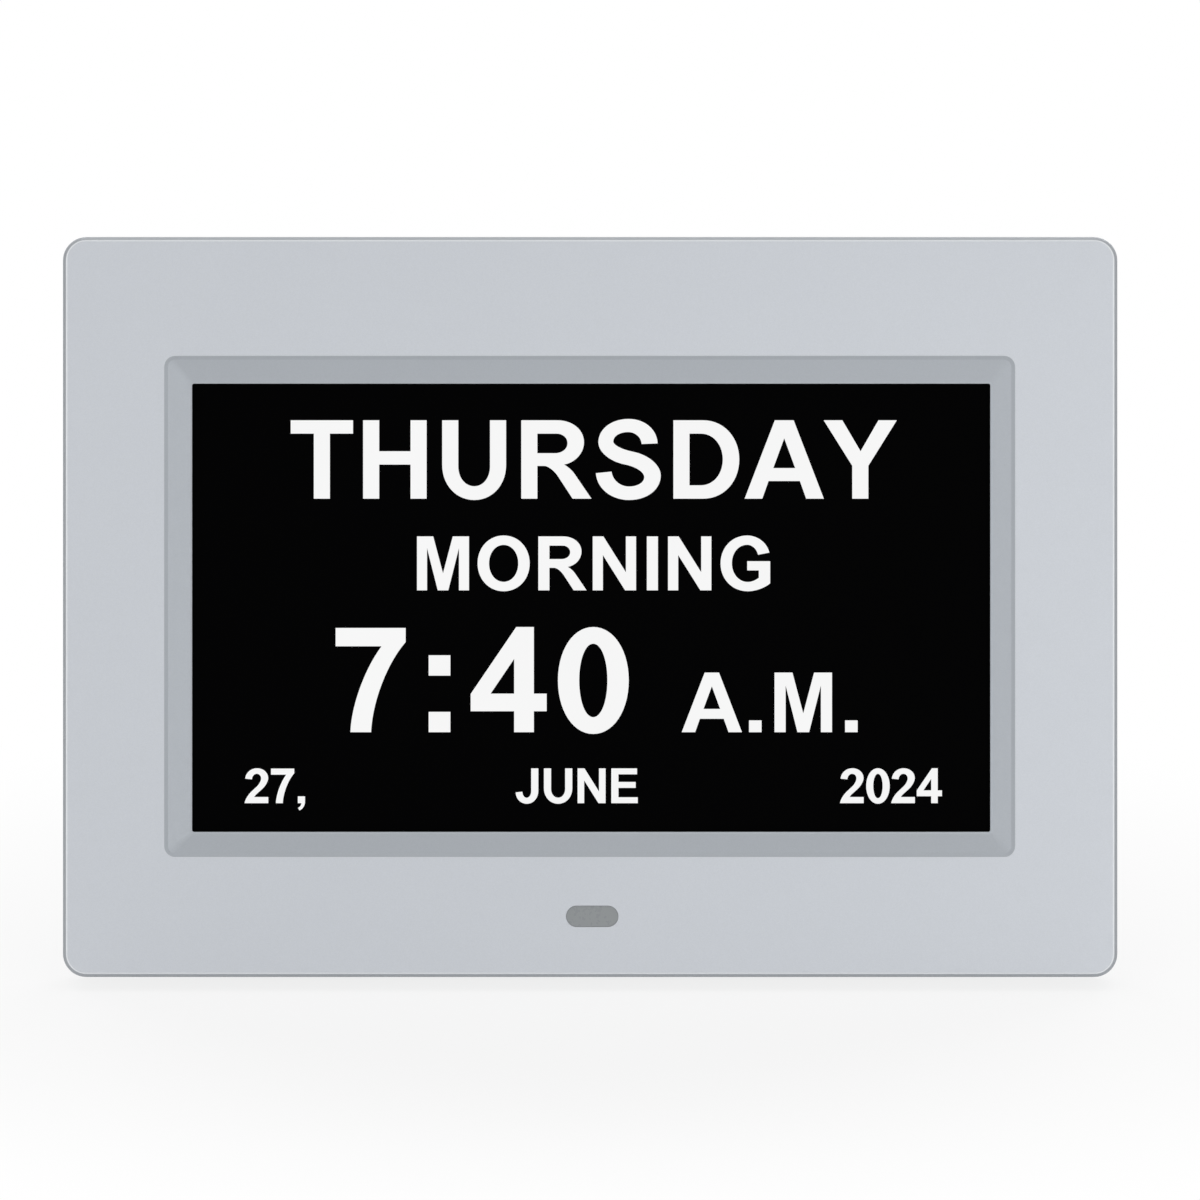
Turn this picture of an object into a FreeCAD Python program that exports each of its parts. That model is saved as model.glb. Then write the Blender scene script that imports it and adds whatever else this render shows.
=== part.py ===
import FreeCAD, Part
import math
import os

# A day clock: a leaning desk clock with a large colour panel, seven inches across.
# It is drawn upright, in millimetres: X to the right as seen from the front, Y to the back,
# Z up, the fascia at y = 0 and the lower edge of the case at z = 0. The last section leans it
# back on its leg and sets it down on the table at z = 0.

V = FreeCAD.Vector

# ------------------------------------------------------------------ driving dimensions, mm
# Screen window in the fascia, the sunken band round it and the fascia's borders
WINDOW_W = 154.2
WINDOW_H = 86.6
WINDOW_R = 0.4
BAND_LEFT = 5.4
BAND_RIGHT = 4.8
BAND_TOP = 5.4
BAND_BOTTOM = 4.9
BAND_R = 2.2
BAND_EDGE_W = 0.8
BAND_EDGE_DEPTH = 0.4
BAND_DEPTH = 1.3
BAND_LAND = 0.4
LIP_T = 1.0
BORDER_LEFT = 19.5
BORDER_RIGHT = 19.7
BORDER_TOP = 22.9
BORDER_BOTTOM = 23.1

# Case walls
CASE_R = 4.5
FASCIA_EDGE_R = 1.0
FASCIA_T = 2.2
SIDE_WALL = 2.2
BEZEL_DEPTH = 9.0
TRAY_DEPTH = 4.0
TRAY_WALL = 2.0
TRAY_TAPER = 2.2
SEAM = 0.4
TONGUE_T = 1.0
TONGUE_REACH = 1.2
TONGUE_GAP = 0.15
PAD_MARGIN = 1.5

# Hump on the back, which holds the electronics
HUMP_SIDE_MARGIN = 21.8
HUMP_TOP_MARGIN = 18.9
HUMP_FOOT_MARGIN = 6.0
HUMP_DEPTH = 14.0
HUMP_R = 10.0
HUMP_EDGE_R = 3.0
HUMP_WALL = 2.0

# Lean, table and feet
LEAN_DEG = 12.0
TABLE_CLEARANCE = 0.5
FOOT_W = 24.0
FOOT_DEPTH = 8.4
FOOT_SET_BACK = 2.0
FOOT_SPREAD = 120.0
FOOT_POCKET = 1.0
FOOT_R = 1.5

# Stand leg and its hinge
HINGE_Z = 78.0
HINGE_PIN_R = 1.25
HINGE_RUN_GAP = 0.05
HINGE_SEAT_GAP = 0.02
LEG_OPEN_DEG = 27.0
LEG_W = 44.0
LEG_TIP_W = 36.0
LEG_T = 5.0
LEG_SKIN = 2.0
LEG_RIM = 1.8
LEG_EDGE_R = 1.0
LEG_RIB_SPREAD = 12.0
GRIP_COUNT = 4
GRIP_W = 20.0
GRIP_H = 1.4
GRIP_DEPTH = 0.6
GRIP_PITCH = 3.0
GRIP_ABOVE_SHOE = 3.5
LEG_SIDE_GAP = 1.0
LEG_BACK_GAP = 0.5
LEG_FLOOR_GAP = 0.7
BARREL_R = 2.9
HEEL_T = 3.0
HEEL_H = 7.0
HEEL_CLEARANCE = 1.2
STOP_GAP = 0.1
RECESS_WALL = 2.0
PIN_BOSS_L = 4.0
PIN_BOSS_R = 3.6
PIN_END_GAP = 1.1
WASHER_T = 0.8
WASHER_R = 2.7
SHOE_H = 6.0
SHOE_TONGUE_H = 3.5
SHOE_TONGUE_T = 2.4
SHOE_TONGUE_INSET = 4.0

# Panel module
PANEL_BORDER_SIDE = 5.4
PANEL_BORDER_END = 6.7
GASKET_T = 0.4
GASKET_W = 3.2
PANEL_STEEL_T = 0.3
PANEL_SIGHT = 1.5
POLARIZER_T = 0.2
GLASS_T = 1.1
GLASS_GAP = 0.2
FILMS_T = 0.5
GUIDE_T = 3.0
REFLECTOR_T = 0.3
BACK_PLATE_T = 0.5
MOULD_FRAME_W = 3.0
LED_STRIP_T = 0.6
LED_W = 3.0
LED_H = 1.2
LED_T = 2.1
LED_PITCH = 9.0
LED_COUNT = 16
PANEL_FIT = 0.3
PANEL_RIB_T = 1.5
PANEL_RIB_H = 4.2

# Clamps that hold the panel in the bezel
CLAMP_OUT = 6.5
CLAMP_LAP = 2.2
CLAMP_W = 9.0
CLAMP_T = 0.8
CLAMP_SPREAD = 60.0
CLAMP_END = 3.0

# Screws: head radius, head height, shank radius, length
CASE_SCREW = (2.4, 1.5, 1.3, 8.0)
SMALL_SCREW = (1.9, 1.0, 1.0, 5.0)
SCREW_GAP = 0.02
SCREW_TIP_GAP = 0.3
SMALL_HOLE_GAP = 0.15
CROSS_W = 0.7
CROSS_REACH = 0.62
CROSS_DEPTH = 0.55
CASE_SCREW_INSET_X = 8.8
CASE_SCREW_INSET_Z = 9.5
CASE_BOSS_R = 3.3
COVER_BOSS_R = 4.0
COUNTERBORE_R = 2.8
COUNTERBORE_DEPTH = 1.6
SHANK_HOLE_R = 1.5
SMALL_BOSS_R = 2.3

# Remote receiver behind its window
LENS_X = 0.4
LENS_Z = 11.75
LENS_W = 10.0
LENS_H = 4.0
LENS_GAP = 0.05
LENS_SET_IN = 0.15
LENS_FLANGE = 1.0
LENS_FLANGE_T = 0.8
IR_BOARD_W = 25.0
IR_BOARD_H = 11.0
IR_BOARD_T = 1.2
IR_BOARD_Y = 8.2
IR_SCREW_X = 9.5
RECEIVER_W = 6.0
RECEIVER_H = 7.0
RECEIVER_T = 4.0
RECEIVER_DOME_R = 2.0
RECEIVER_DOME_OUT = 0.9

# Keys on the back and the board that carries their switches
KEY_COUNT = 6
KEY_PITCH = 16.0
KEY_DROP = 11.9
KEY_W = 9.0
KEY_H = 5.0
KEY_R = 1.2
KEY_GAP = 0.3
KEY_PROUD = 1.2
KEY_CROWN_R = 0.5
KEY_FLANGE = 0.7
KEY_FLANGE_T = 0.8
KEY_FLANGE_GAP = 0.4
KEY_BOARD_W = 110.0
KEY_BOARD_H = 10.0
KEY_BOARD_T = 1.2
KEY_BOARD_STAND = 2.1
SWITCH_W = 6.0
SWITCH_H = 3.5
STEM_R = 1.7
STEM_RUN_GAP = 0.1
STEM_IN_SWITCH = 0.6
STEM_ROOM = 0.5
KEY_SCREW_INSET = 5.0

# Main board and what it carries
BOARD_W = 47.4
BOARD_H = 43.0
BOARD_T = 1.6
BOARD_ROOM = 8.4
BOARD_SIDE_GAP = 0.6
BOARD_ABOVE_SPEAKER = 2.3
BOARD_SCREW_INSET = 3.4
BOARD_SCREW_SPAN = 28.1
BOARD_BOSS_R = 2.6
CELL_R = 10.0
CELL_T = 3.2
CELL_WALL = 1.0
CELL_FLOOR = 1.0
CELL_HOLDER_H = 3.2
CELL_LEFT = 13.5
CELL_UP = 17.0
CAPACITOR_R = 3.15
CAPACITOR_H = 7.0
CAPACITOR_TOP_R = 0.4
CAPACITOR_LEFT = 32.0
CAPACITOR_UP = 9.5
CAPACITOR_PITCH = 7.5
CAPACITOR_COUNT = 3
# Chips: width, height, thickness and the centre from the board's lower left corner
CHIPS = (
    (11.0, 11.0, 1.4, 23.0, 34.0),
    (6.0, 5.0, 1.2, 10.5, 35.0),
    (5.0, 4.4, 1.5, 24.0, 6.0),
)
# Board connectors on the panel's side: width, height, thickness and the centre, likewise
RIBBON_SOCKET = (22.0, 3.5, 1.6, 18.0, 3.8)
LEFT_SPEAKER_SOCKET = (5.0, 4.0, 2.4, 3.3, 12.0)
IR_SOCKET = (5.0, 4.0, 2.4, 3.3, 20.0)
KEY_SOCKET = (8.0, 4.0, 2.4, 18.0, 37.0)
RIGHT_SPEAKER_SOCKET = (5.0, 4.0, 2.4, 41.0, 10.0)

# Sockets for power, sticks and cards, on the right end of the hump
PORT_SET_IN = 0.5
JACK_UP = 6.5
JACK_W = 9.0
JACK_H = 6.5
JACK_AXIS_H = 3.4
JACK_BODY_L = 11.5
JACK_SNOUT_R = 3.1
JACK_BORE_R = 1.85
JACK_BORE_L = 9.0
JACK_PIN_R = 0.65
JACK_PIN_SHORT = 0.9
JACK_HOLE_GAP = 0.3
USB_UP = 19.5
USB_W = 13.1
USB_H = 5.8
USB_L = 14.0
USB_SHELL_T = 0.3
USB_BLOCK_L = 3.0
USB_TONGUE_W = 11.1
USB_TONGUE_T = 1.8
USB_TONGUE_SHORT = 1.0
USB_TONGUE_LIFT = 2.6
PORT_HOLE_GAP = 0.3
CARD_UP = 34.5
CARD_W = 14.4
CARD_H = 2.0
CARD_L = 15.0
CARD_SLOT_W = 11.6
CARD_SLOT_H = 1.1
CARD_SLOT_L = 13.0

# Speakers behind the grilles
SPEAKER_R = 14.0
SPEAKER_SIDE = 20.0
SPEAKER_UP = 26.0
SPEAKER_FLANGE_T = 1.2
SPEAKER_BASKET_H = 2.8
SPEAKER_BASKET_R = 9.0
MAGNET_R = 8.0
MAGNET_H = 3.5
CONE_R = 12.0
CONE_NECK_R = 4.0
CONE_DEPTH = 2.0
CONE_T = 0.4
FOAM_T = 1.0
FOAM_W = 1.8
SPEAKER_WALL_GAP = 0.2
SPEAKER_WALL_T = 1.5
SPEAKER_WALL_H = 5.0
GRILLE_R = 12.0
GRILLE_SLOT_H = 1.4
GRILLE_PITCH = 3.0
GRILLE_ROWS = 7

# Wall keyholes, vents and leads
KEYHOLE_SPREAD = 120.0
KEYHOLE_ABOVE_BOARD = 8.0
KEYHOLE_R = 4.5
KEYHOLE_SLOT_W = 4.6
KEYHOLE_SLOT_L = 9.0
KEYHOLE_CUP_GAP = 2.0
KEYHOLE_CUP_DEPTH = 4.8
KEYHOLE_CUP_WALL = 1.2
VENT_COUNT = 9
VENT_PITCH = 5.0
VENT_W = 1.8
VENT_H = 14.0
VENT_ABOVE_RECESS = 8.0
LEAD_R = 0.65
KEY_LEAD_R = 0.8
LEAD_BEND = 2.4
LEAD_OFF_BOARD = 1.8
LEAD_OFF_PANEL = 2.5
SPEAKER_LEAD_RISE = 5.0
SPEAKER_LEAD_CLIMB = 3.0
SPEAKER_LEAD_STEP = 8.0
SPEAKER_LEAD_TURN = 11.0
SPEAKER_LEAD_RUN = 4.0
SPEAKER_LEAD_DROP = 6.0
IR_LEAD_SIDE = 6.0
IR_LEAD_UP = 3.0
IR_LEAD_SAG = 0.6
IR_LEAD_CLIMB = 26.0
IR_LEAD_BESIDE = 7.0
IR_LEAD_TURN = 16.0
IR_LEAD_DROP = 5.0
IR_LEAD_RUN = 5.0
KEY_LEAD_BESIDE = 6.6
KEY_LEAD_DROP = 2.5
KEY_LEAD_OFF_PANEL = 1.0
KEY_LEAD_TURN = 12.0
KEY_LEAD_RUN = 5.0
RIBBON_W = 21.0
RIBBON_T = 0.3
RIBBON_BEND = 2.0
RIBBON_FLAT = 12.0

# ------------------------------------------------------------------ values worked out from them
CASE_W = BORDER_LEFT + BAND_LEFT + WINDOW_W + BAND_RIGHT + BORDER_RIGHT
CASE_H = BORDER_TOP + BAND_TOP + WINDOW_H + BAND_BOTTOM + BORDER_BOTTOM
CASE_Z = CASE_H / 2
BAND_W = BAND_LEFT + WINDOW_W + BAND_RIGHT
BAND_H = BAND_TOP + WINDOW_H + BAND_BOTTOM
BAND_X = -CASE_W / 2 + BORDER_LEFT + BAND_W / 2
BAND_Z = BORDER_BOTTOM + BAND_H / 2
WINDOW_X = -CASE_W / 2 + BORDER_LEFT + BAND_LEFT + WINDOW_W / 2
WINDOW_Z = BORDER_BOTTOM + BAND_BOTTOM + WINDOW_H / 2

LIP_BACK_Y = BAND_DEPTH + LIP_T
PANEL_Y = LIP_BACK_Y + GASKET_T
PANEL_T = PANEL_STEEL_T + GLASS_T + FILMS_T + GUIDE_T + REFLECTOR_T + BACK_PLATE_T
PANEL_BACK_Y = PANEL_Y + PANEL_T
PANEL_W = WINDOW_W + 2 * PANEL_BORDER_SIDE
PANEL_H = WINDOW_H + 2 * PANEL_BORDER_END
SPLIT_Y = BEZEL_DEPTH
TRAY_BACK_Y = SPLIT_Y + TRAY_DEPTH
TRAY_IN_Y = TRAY_BACK_Y - TRAY_WALL
HUMP_BACK_Y = TRAY_BACK_Y + HUMP_DEPTH
HUMP_IN_Y = HUMP_BACK_Y - HUMP_WALL
HUMP_W = CASE_W - 2 * HUMP_SIDE_MARGIN
HUMP_H = CASE_H - HUMP_TOP_MARGIN - HUMP_FOOT_MARGIN
HUMP_Z = HUMP_FOOT_MARGIN + HUMP_H / 2
HUMP_IN_X = HUMP_W / 2 - HUMP_WALL
HUMP_IN_FOOT = HUMP_FOOT_MARGIN + HUMP_WALL

TABLE_SLOPE = math.tan(math.radians(LEAN_DEG))
TABLE_EDGE_Y = TRAY_BACK_Y - TRAY_TAPER

HINGE_Y = HUMP_BACK_Y - LEG_BACK_GAP - LEG_T / 2
LEG_FLOOR_Y = HINGE_Y - LEG_T / 2 - LEG_FLOOR_GAP
RECESS_HALF_W = LEG_W / 2 + LEG_SIDE_GAP
RECESS_TOP_Z = HINGE_Z + HEEL_H + HEEL_CLEARANCE
OPEN = math.radians(LEG_OPEN_DEG)
LEG_L = (HINGE_Z - TABLE_SLOPE * (HINGE_Y - TABLE_EDGE_Y) + TABLE_CLEARANCE) / (
    math.cos(OPEN) + TABLE_SLOPE * math.sin(OPEN)
)

BOARD_BACK_Y = HUMP_IN_Y - BOARD_ROOM
BOARD_FRONT_Y = BOARD_BACK_Y - BOARD_T
BOARD_RIGHT = HUMP_IN_X - BOARD_SIDE_GAP
BOARD_LEFT = BOARD_RIGHT - BOARD_W
SPEAKER_X = HUMP_IN_X - SPEAKER_SIDE
SPEAKER_Z = HUMP_IN_FOOT + SPEAKER_UP
SPEAKER_WALL_IN_R = SPEAKER_R + SPEAKER_WALL_GAP
SPEAKER_WALL_OUT_R = SPEAKER_WALL_IN_R + SPEAKER_WALL_T
BOARD_FOOT = SPEAKER_Z + SPEAKER_WALL_OUT_R + BOARD_ABOVE_SPEAKER
BOARD_TOP = BOARD_FOOT + BOARD_H
KEYHOLE_Z = BOARD_TOP + KEYHOLE_ABOVE_BOARD

KEY_Z = CASE_H - KEY_DROP
KEY_BOARD_Y = FASCIA_T + KEY_BOARD_STAND
SWITCH_Y = KEY_BOARD_Y + KEY_BOARD_T
SWITCH_TOP_Y = SWITCH_Y + SWITCH_H
KEY_FLANGE_Y = TRAY_IN_Y - KEY_FLANGE_GAP - KEY_FLANGE_T
KEY_TOP_Y = TRAY_BACK_Y + KEY_PROUD
KEY_XS = [KEY_PITCH * (i - (KEY_COUNT - 1) / 2) for i in range(KEY_COUNT)]
KEY_SCREW_XS = (-KEY_BOARD_W / 2 + KEY_SCREW_INSET, 0.0, KEY_BOARD_W / 2 - KEY_SCREW_INSET)

PORT_FACE_X = HUMP_W / 2 - PORT_SET_IN
JACK_Y = BOARD_BACK_Y + JACK_AXIS_H
JACK_Z = BOARD_FOOT + JACK_UP
USB_Y = BOARD_BACK_Y + USB_H / 2
USB_Z = BOARD_FOOT + USB_UP
CARD_Y = BOARD_BACK_Y + CARD_H / 2
CARD_Z = BOARD_FOOT + CARD_UP

CASE_SEAT_Y = TRAY_BACK_Y - COUNTERBORE_DEPTH
IR_SEAT_Y = IR_BOARD_Y + IR_BOARD_T
GLASS_Y = PANEL_Y + PANEL_STEEL_T
FILMS_Y = GLASS_Y + GLASS_T
GUIDE_Y = FILMS_Y + FILMS_T
REFLECTOR_Y = GUIDE_Y + GUIDE_T
BACK_PLATE_Y = REFLECTOR_Y + REFLECTOR_T
PANEL_IN_RIM = PANEL_STEEL_T + GLASS_GAP + MOULD_FRAME_W + GLASS_GAP
STRIP_Z = WINDOW_Z - PANEL_H / 2 + PANEL_IN_RIM
KEY_SCREW = (*SMALL_SCREW[:3], KEY_BOARD_T + KEY_BOARD_STAND - SCREW_TIP_GAP)
CASE_SCREW_PLACES = [
    (side * (CASE_W / 2 - CASE_SCREW_INSET_X), z)
    for side in (-1, 1)
    for z in (CASE_SCREW_INSET_Z, CASE_Z, CASE_H - CASE_SCREW_INSET_Z)
]
CLAMP_PLACES = [
    (side, WINDOW_X + side * (PANEL_W / 2 + CLAMP_OUT), WINDOW_Z + up * CLAMP_SPREAD / 2)
    for side in (-1, 1)
    for up in (-1, 1)
]
IR_SCREW_PLACES = [(LENS_X + side * IR_SCREW_X, LENS_Z) for side in (-1, 1)]
BOARD_SCREW_PLACES = [
    (BOARD_LEFT + BOARD_SCREW_INSET + across, up)
    for across in (0, BOARD_SCREW_SPAN)
    for up in (BOARD_FOOT + BOARD_SCREW_INSET, BOARD_TOP - BOARD_SCREW_INSET)
]

CUT = 1.0  # how far a cutting tool runs past the face that it opens
TINY = 1e-4
BEND_SHARE = 0.45  # the most of a straight run that one bend may take


# ------------------------------------------------------------------ shapes that repeat
def box(x0, x1, y0, y1, z0, z1):
    """Box between two corners."""
    return Part.makeBox(x1 - x0, y1 - y0, z1 - z0, V(x0, y0, z0))


def centred_box(width, height, x, z, y0, y1):
    """Box whose front and back faces are centred on (x, z)."""
    return box(x - width / 2, x + width / 2, y0, y1, z - height / 2, z + height / 2)


def outline(width, height, radius, x, z, y):
    """Closed wire of a rounded rectangle that stands upright at depth y."""
    rounds = []
    for turn, (side, up) in enumerate(((1, 1), (-1, 1), (-1, -1), (1, -1))):
        centre = V(x + side * (width / 2 - radius), y, z + up * (height / 2 - radius))
        angles = [math.radians(90 * turn + part) for part in (0, 45, 90)]
        rounds.append([centre + V(radius * math.cos(a), 0, radius * math.sin(a)) for a in angles])
    edges = []
    for i, (start, middle, end) in enumerate(rounds):
        edges.append(Part.Arc(start, middle, end).toShape())
        following = rounds[(i + 1) % 4][0]
        if following.distanceToPoint(end) > TINY:
            edges.append(Part.LineSegment(end, following).toShape())
    return Part.Wire(edges)


def slab(width, height, radius, x, z, y0, y1):
    """Rounded rectangle between the depths y0 and y1."""
    return Part.Face(outline(width, height, radius, x, z, y0)).extrude(V(0, y1 - y0, 0))


def rod(radius, x, z, y0, y1):
    """Cylinder along Y."""
    return Part.makeCylinder(radius, y1 - y0, V(x, y0, z), V(0, 1, 0))


def cross_rod(radius, y, z, x0, x1):
    """Cylinder along X."""
    return Part.makeCylinder(radius, x1 - x0, V(x0, y, z), V(1, 0, 0))


def prism(side_view, x0, x1):
    """Closed (y, z) outline extruded along X."""
    wire = Part.makePolygon([V(x0, y, z) for y, z in [*side_view, side_view[0]]])
    return Part.Face(wire).extrude(V(x1 - x0, 0, 0))


def plate(front_view, y0, y1):
    """Closed (x, z) outline extruded along Y."""
    wire = Part.makePolygon([V(x, y0, z) for x, z in [*front_view, front_view[0]]])
    return Part.Face(wire).extrude(V(0, y1 - y0, 0))


def turned(profile, x, z):
    """Closed (radius, y) outline turned round the axis along Y through (x, z)."""
    wire = Part.makePolygon([V(x + r, y, z) for r, y in [*profile, profile[0]]])
    return Part.Face(wire).revolve(V(x, 0, z), V(0, 1, 0), 360)


def edges_at_depth(shape, y):
    """Edges that lie wholly in the upright plane at depth y."""
    level = [e for e in shape.Edges if e.BoundBox.YLength < TINY]
    return [e for e in level if abs(e.Vertexes[0].Y - y) < TINY]


def rising_edges(edges):
    """Those of the edges that climb rather than run level."""
    return [e for e in edges if e.BoundBox.ZLength > TINY]


def joined(first, *others):
    """One solid without the seams between its parts."""
    return first.fuse(list(others)).removeSplitter()


def rounded_path(points, bend):
    """Straight runs between the points, joined by tangent arcs of radius bend or what fits."""
    edges = []
    start = points[0]
    for before, corner, after in zip(points, points[1:], points[2:]):
        inward = (corner - before).normalize()
        outward = (after - corner).normalize()
        half_turn = inward.getAngle(outward) / 2
        room = BEND_SHARE * min((corner - before).Length, (after - corner).Length)
        back = min(bend * math.tan(half_turn), room)
        radius = back / math.tan(half_turn)
        bisector = (outward - inward).normalize()
        centre = corner + bisector * (radius / math.cos(half_turn))
        first = corner - inward * back
        last = corner + outward * back
        edges.append(Part.LineSegment(start, first).toShape())
        edges.append(Part.Arc(first, centre - bisector * radius, last).toShape())
        start = last
    edges.append(Part.LineSegment(start, points[-1]).toShape())
    return Part.Wire(edges)


def lead(radius, *points):
    """Insulated lead along a rounded path."""
    path = [V(*p) for p in points]
    ring = Part.Wire(Part.makeCircle(radius, path[0], path[1] - path[0]))
    return rounded_path(path, LEAD_BEND).makePipeShell([ring], True, False)


def screw(size, x, z, seat_y, way):
    """Pan-head screw along Y: way is -1 when its tip points to the front, 1 to the back."""
    head_r, head_h, shank_r, length = size

    def span(radius, start, end):
        return rod(radius, x, z, min(start, end), max(start, end))

    top_y = seat_y - way * head_h
    body = joined(span(head_r, seat_y, top_y), span(shank_r, seat_y, seat_y + way * length))
    slot_end = top_y + way * CROSS_DEPTH
    near, far = min(slot_end, top_y), max(slot_end, top_y)
    reach = 2 * CROSS_REACH * head_r
    slots = [centred_box(reach, CROSS_W, x, z, near, far), centred_box(CROSS_W, reach, x, z, near, far)]
    return body.cut(slots)


def pilot(size, x, z, mouth_y, seat_y, way):
    """Pilot hole for a screw whose head seats at seat_y and whose boss ends at mouth_y."""
    _, _, shank_r, length = size
    deep_y = seat_y + way * (length + SCREW_TIP_GAP)
    return rod(shank_r + SCREW_GAP, x, z, min(mouth_y, deep_y), max(mouth_y, deep_y))


def table_z(y):
    """Height of the table under the upright clock at depth y."""
    return TABLE_SLOPE * (y - TABLE_EDGE_Y) - TABLE_CLEARANCE


# ------------------------------------------------------------------ case
def front_bezel():
    """Fascia with the sunken band and the window, its side walls, ribs and screw bosses."""
    body = slab(CASE_W, CASE_H, CASE_R, 0, CASE_Z, 0, SPLIT_Y)
    body = body.makeFillet(FASCIA_EDGE_R, edges_at_depth(body, 0))
    inner = (CASE_W - 2 * SIDE_WALL, CASE_H - 2 * SIDE_WALL, CASE_R - SIDE_WALL)
    body = body.cut(slab(*inner, 0, CASE_Z, FASCIA_T, SPLIT_Y + CUT))
    pad = (BAND_W + 2 * PAD_MARGIN, BAND_H + 2 * PAD_MARGIN, BAND_R + PAD_MARGIN)
    rib_in = (PANEL_W + 2 * PANEL_FIT, PANEL_H + 2 * PANEL_FIT)
    rib_out = [size + 2 * PANEL_RIB_T for size in rib_in]
    rib_top_y = FASCIA_T + PANEL_RIB_H
    ribs = centred_box(*rib_out, WINDOW_X, WINDOW_Z, FASCIA_T, rib_top_y)
    ribs = ribs.cut(centred_box(*rib_in, WINDOW_X, WINDOW_Z, FASCIA_T, rib_top_y))
    bosses = [rod(CASE_BOSS_R, x, z, FASCIA_T, SPLIT_Y) for x, z in CASE_SCREW_PLACES]
    bosses += [rod(SMALL_BOSS_R, x, z, FASCIA_T, PANEL_BACK_Y) for _, x, z in CLAMP_PLACES]
    bosses += [rod(SMALL_BOSS_R, x, z, FASCIA_T, IR_BOARD_Y) for x, z in IR_SCREW_PLACES]
    bosses += [rod(SMALL_BOSS_R, x, KEY_Z, FASCIA_T, KEY_BOARD_Y) for x in KEY_SCREW_XS]
    body = joined(body, slab(*pad, BAND_X, BAND_Z, FASCIA_T / 2, LIP_BACK_Y), ribs, *bosses)

    land_r = WINDOW_R + BAND_LAND
    rim = outline(BAND_W, BAND_H, BAND_R, BAND_X, BAND_Z, 0)
    bend_r = max(land_r, BAND_R - BAND_EDGE_W)
    bend = (BAND_W - 2 * BAND_EDGE_W, BAND_H - 2 * BAND_EDGE_W, bend_r)
    bend = outline(*bend, BAND_X, BAND_Z, BAND_EDGE_DEPTH)
    land = (WINDOW_W + 2 * BAND_LAND, WINDOW_H + 2 * BAND_LAND, land_r)
    land = outline(*land, WINDOW_X, WINDOW_Z, BAND_DEPTH)
    cuts = [
        Part.makeLoft([rim, bend], True, True),
        Part.makeLoft([bend, land], True, True),
        slab(WINDOW_W, WINDOW_H, WINDOW_R, WINDOW_X, WINDOW_Z, -CUT, LIP_BACK_Y + CUT),
        lens_blank(LENS_GAP, -CUT, FASCIA_T + CUT),
    ]
    clamp_seat_y = PANEL_BACK_Y + CLAMP_T
    cuts += [pilot(CASE_SCREW, x, z, SPLIT_Y, CASE_SEAT_Y, -1) for x, z in CASE_SCREW_PLACES]
    cuts += [pilot(SMALL_SCREW, x, z, PANEL_BACK_Y, clamp_seat_y, -1) for _, x, z in CLAMP_PLACES]
    cuts += [pilot(SMALL_SCREW, x, z, IR_BOARD_Y, IR_SEAT_Y, -1) for x, z in IR_SCREW_PLACES]
    cuts += [pilot(KEY_SCREW, x, KEY_Z, KEY_BOARD_Y, SWITCH_Y, -1) for x in KEY_SCREW_XS]
    return body.cut(cuts)


def recess_side_view(wall):
    """Outline of the recess for the folded leg, grown by wall, with its slanted stop for the heel."""
    slant = V(0, -math.sin(OPEN), math.cos(OPEN))
    ahead = V(0, -math.cos(OPEN), -math.sin(OPEN))
    start = V(0, HINGE_Y, HINGE_Z) + ahead * (HEEL_T / 2 + STOP_GAP)
    low = start + slant * ((start.y - LEG_FLOOR_Y) / math.sin(OPEN))
    high = start + slant * (HEEL_H + STOP_GAP)
    top_z = RECESS_TOP_Z + wall
    return [
        (HUMP_BACK_Y + CUT, -CUT),
        (HUMP_BACK_Y + CUT, top_z),
        (high.y - wall, top_z),
        (high.y - wall, high.z),
        (LEG_FLOOR_Y - wall, low.z),
        (LEG_FLOOR_Y - wall, -CUT),
    ]


def leg_recess(wall):
    """Space for the folded leg, grown by wall: it narrows below the hinge as the leg does."""
    half = RECESS_HALF_W + wall
    foot_half = leg_half_width(-CUT) + LEG_SIDE_GAP + wall
    shoulder_z = HINGE_Z - PIN_BOSS_R
    top_z = RECESS_TOP_Z + wall + CUT
    right = [(foot_half, -CUT), (half, shoulder_z), (half, top_z)]
    left = [(-x, z) for x, z in reversed(right)]
    return prism(recess_side_view(wall), -half, half).common(plate(right + left, 0, HUMP_BACK_Y + CUT))


def keyhole(x):
    """Round mouth for a screw head, with the slot above it that its shank slides into."""
    mouth = rod(KEYHOLE_R, x, KEYHOLE_Z, HUMP_IN_Y - CUT, HUMP_BACK_Y + CUT)
    slot_z = KEYHOLE_Z + KEYHOLE_SLOT_L
    end = rod(KEYHOLE_SLOT_W / 2, x, slot_z, HUMP_IN_Y - CUT, HUMP_BACK_Y + CUT)
    half = KEYHOLE_SLOT_W / 2
    slot = box(x - half, x + half, HUMP_IN_Y - CUT, HUMP_BACK_Y + CUT, KEYHOLE_Z, slot_z)
    return joined(mouth, slot, end)


def keyhole_cup(x, wall):
    """Space behind a keyhole for the screw head, grown by wall."""
    half = KEYHOLE_R + KEYHOLE_CUP_GAP + wall
    low = KEYHOLE_Z - half
    high = KEYHOLE_Z + KEYHOLE_SLOT_L + KEYHOLE_SLOT_W / 2 + KEYHOLE_CUP_GAP + wall
    return box(x - half, x + half, HUMP_IN_Y - KEYHOLE_CUP_DEPTH - wall, HUMP_IN_Y, low, high)


def grille_slots(x):
    """Level slots over a speaker, each as long as the round grille is wide at its height."""
    slots = []
    for row in range(GRILLE_ROWS):
        up = GRILLE_PITCH * (row - (GRILLE_ROWS - 1) / 2)
        length = 2 * math.sqrt(GRILLE_R**2 - up**2)
        round_r = GRILLE_SLOT_H / 2
        y0, y1 = HUMP_IN_Y - CUT, HUMP_BACK_Y + CUT
        slots.append(slab(length, GRILLE_SLOT_H, round_r, x, SPEAKER_Z + up, y0, y1))
    return slots


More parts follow.
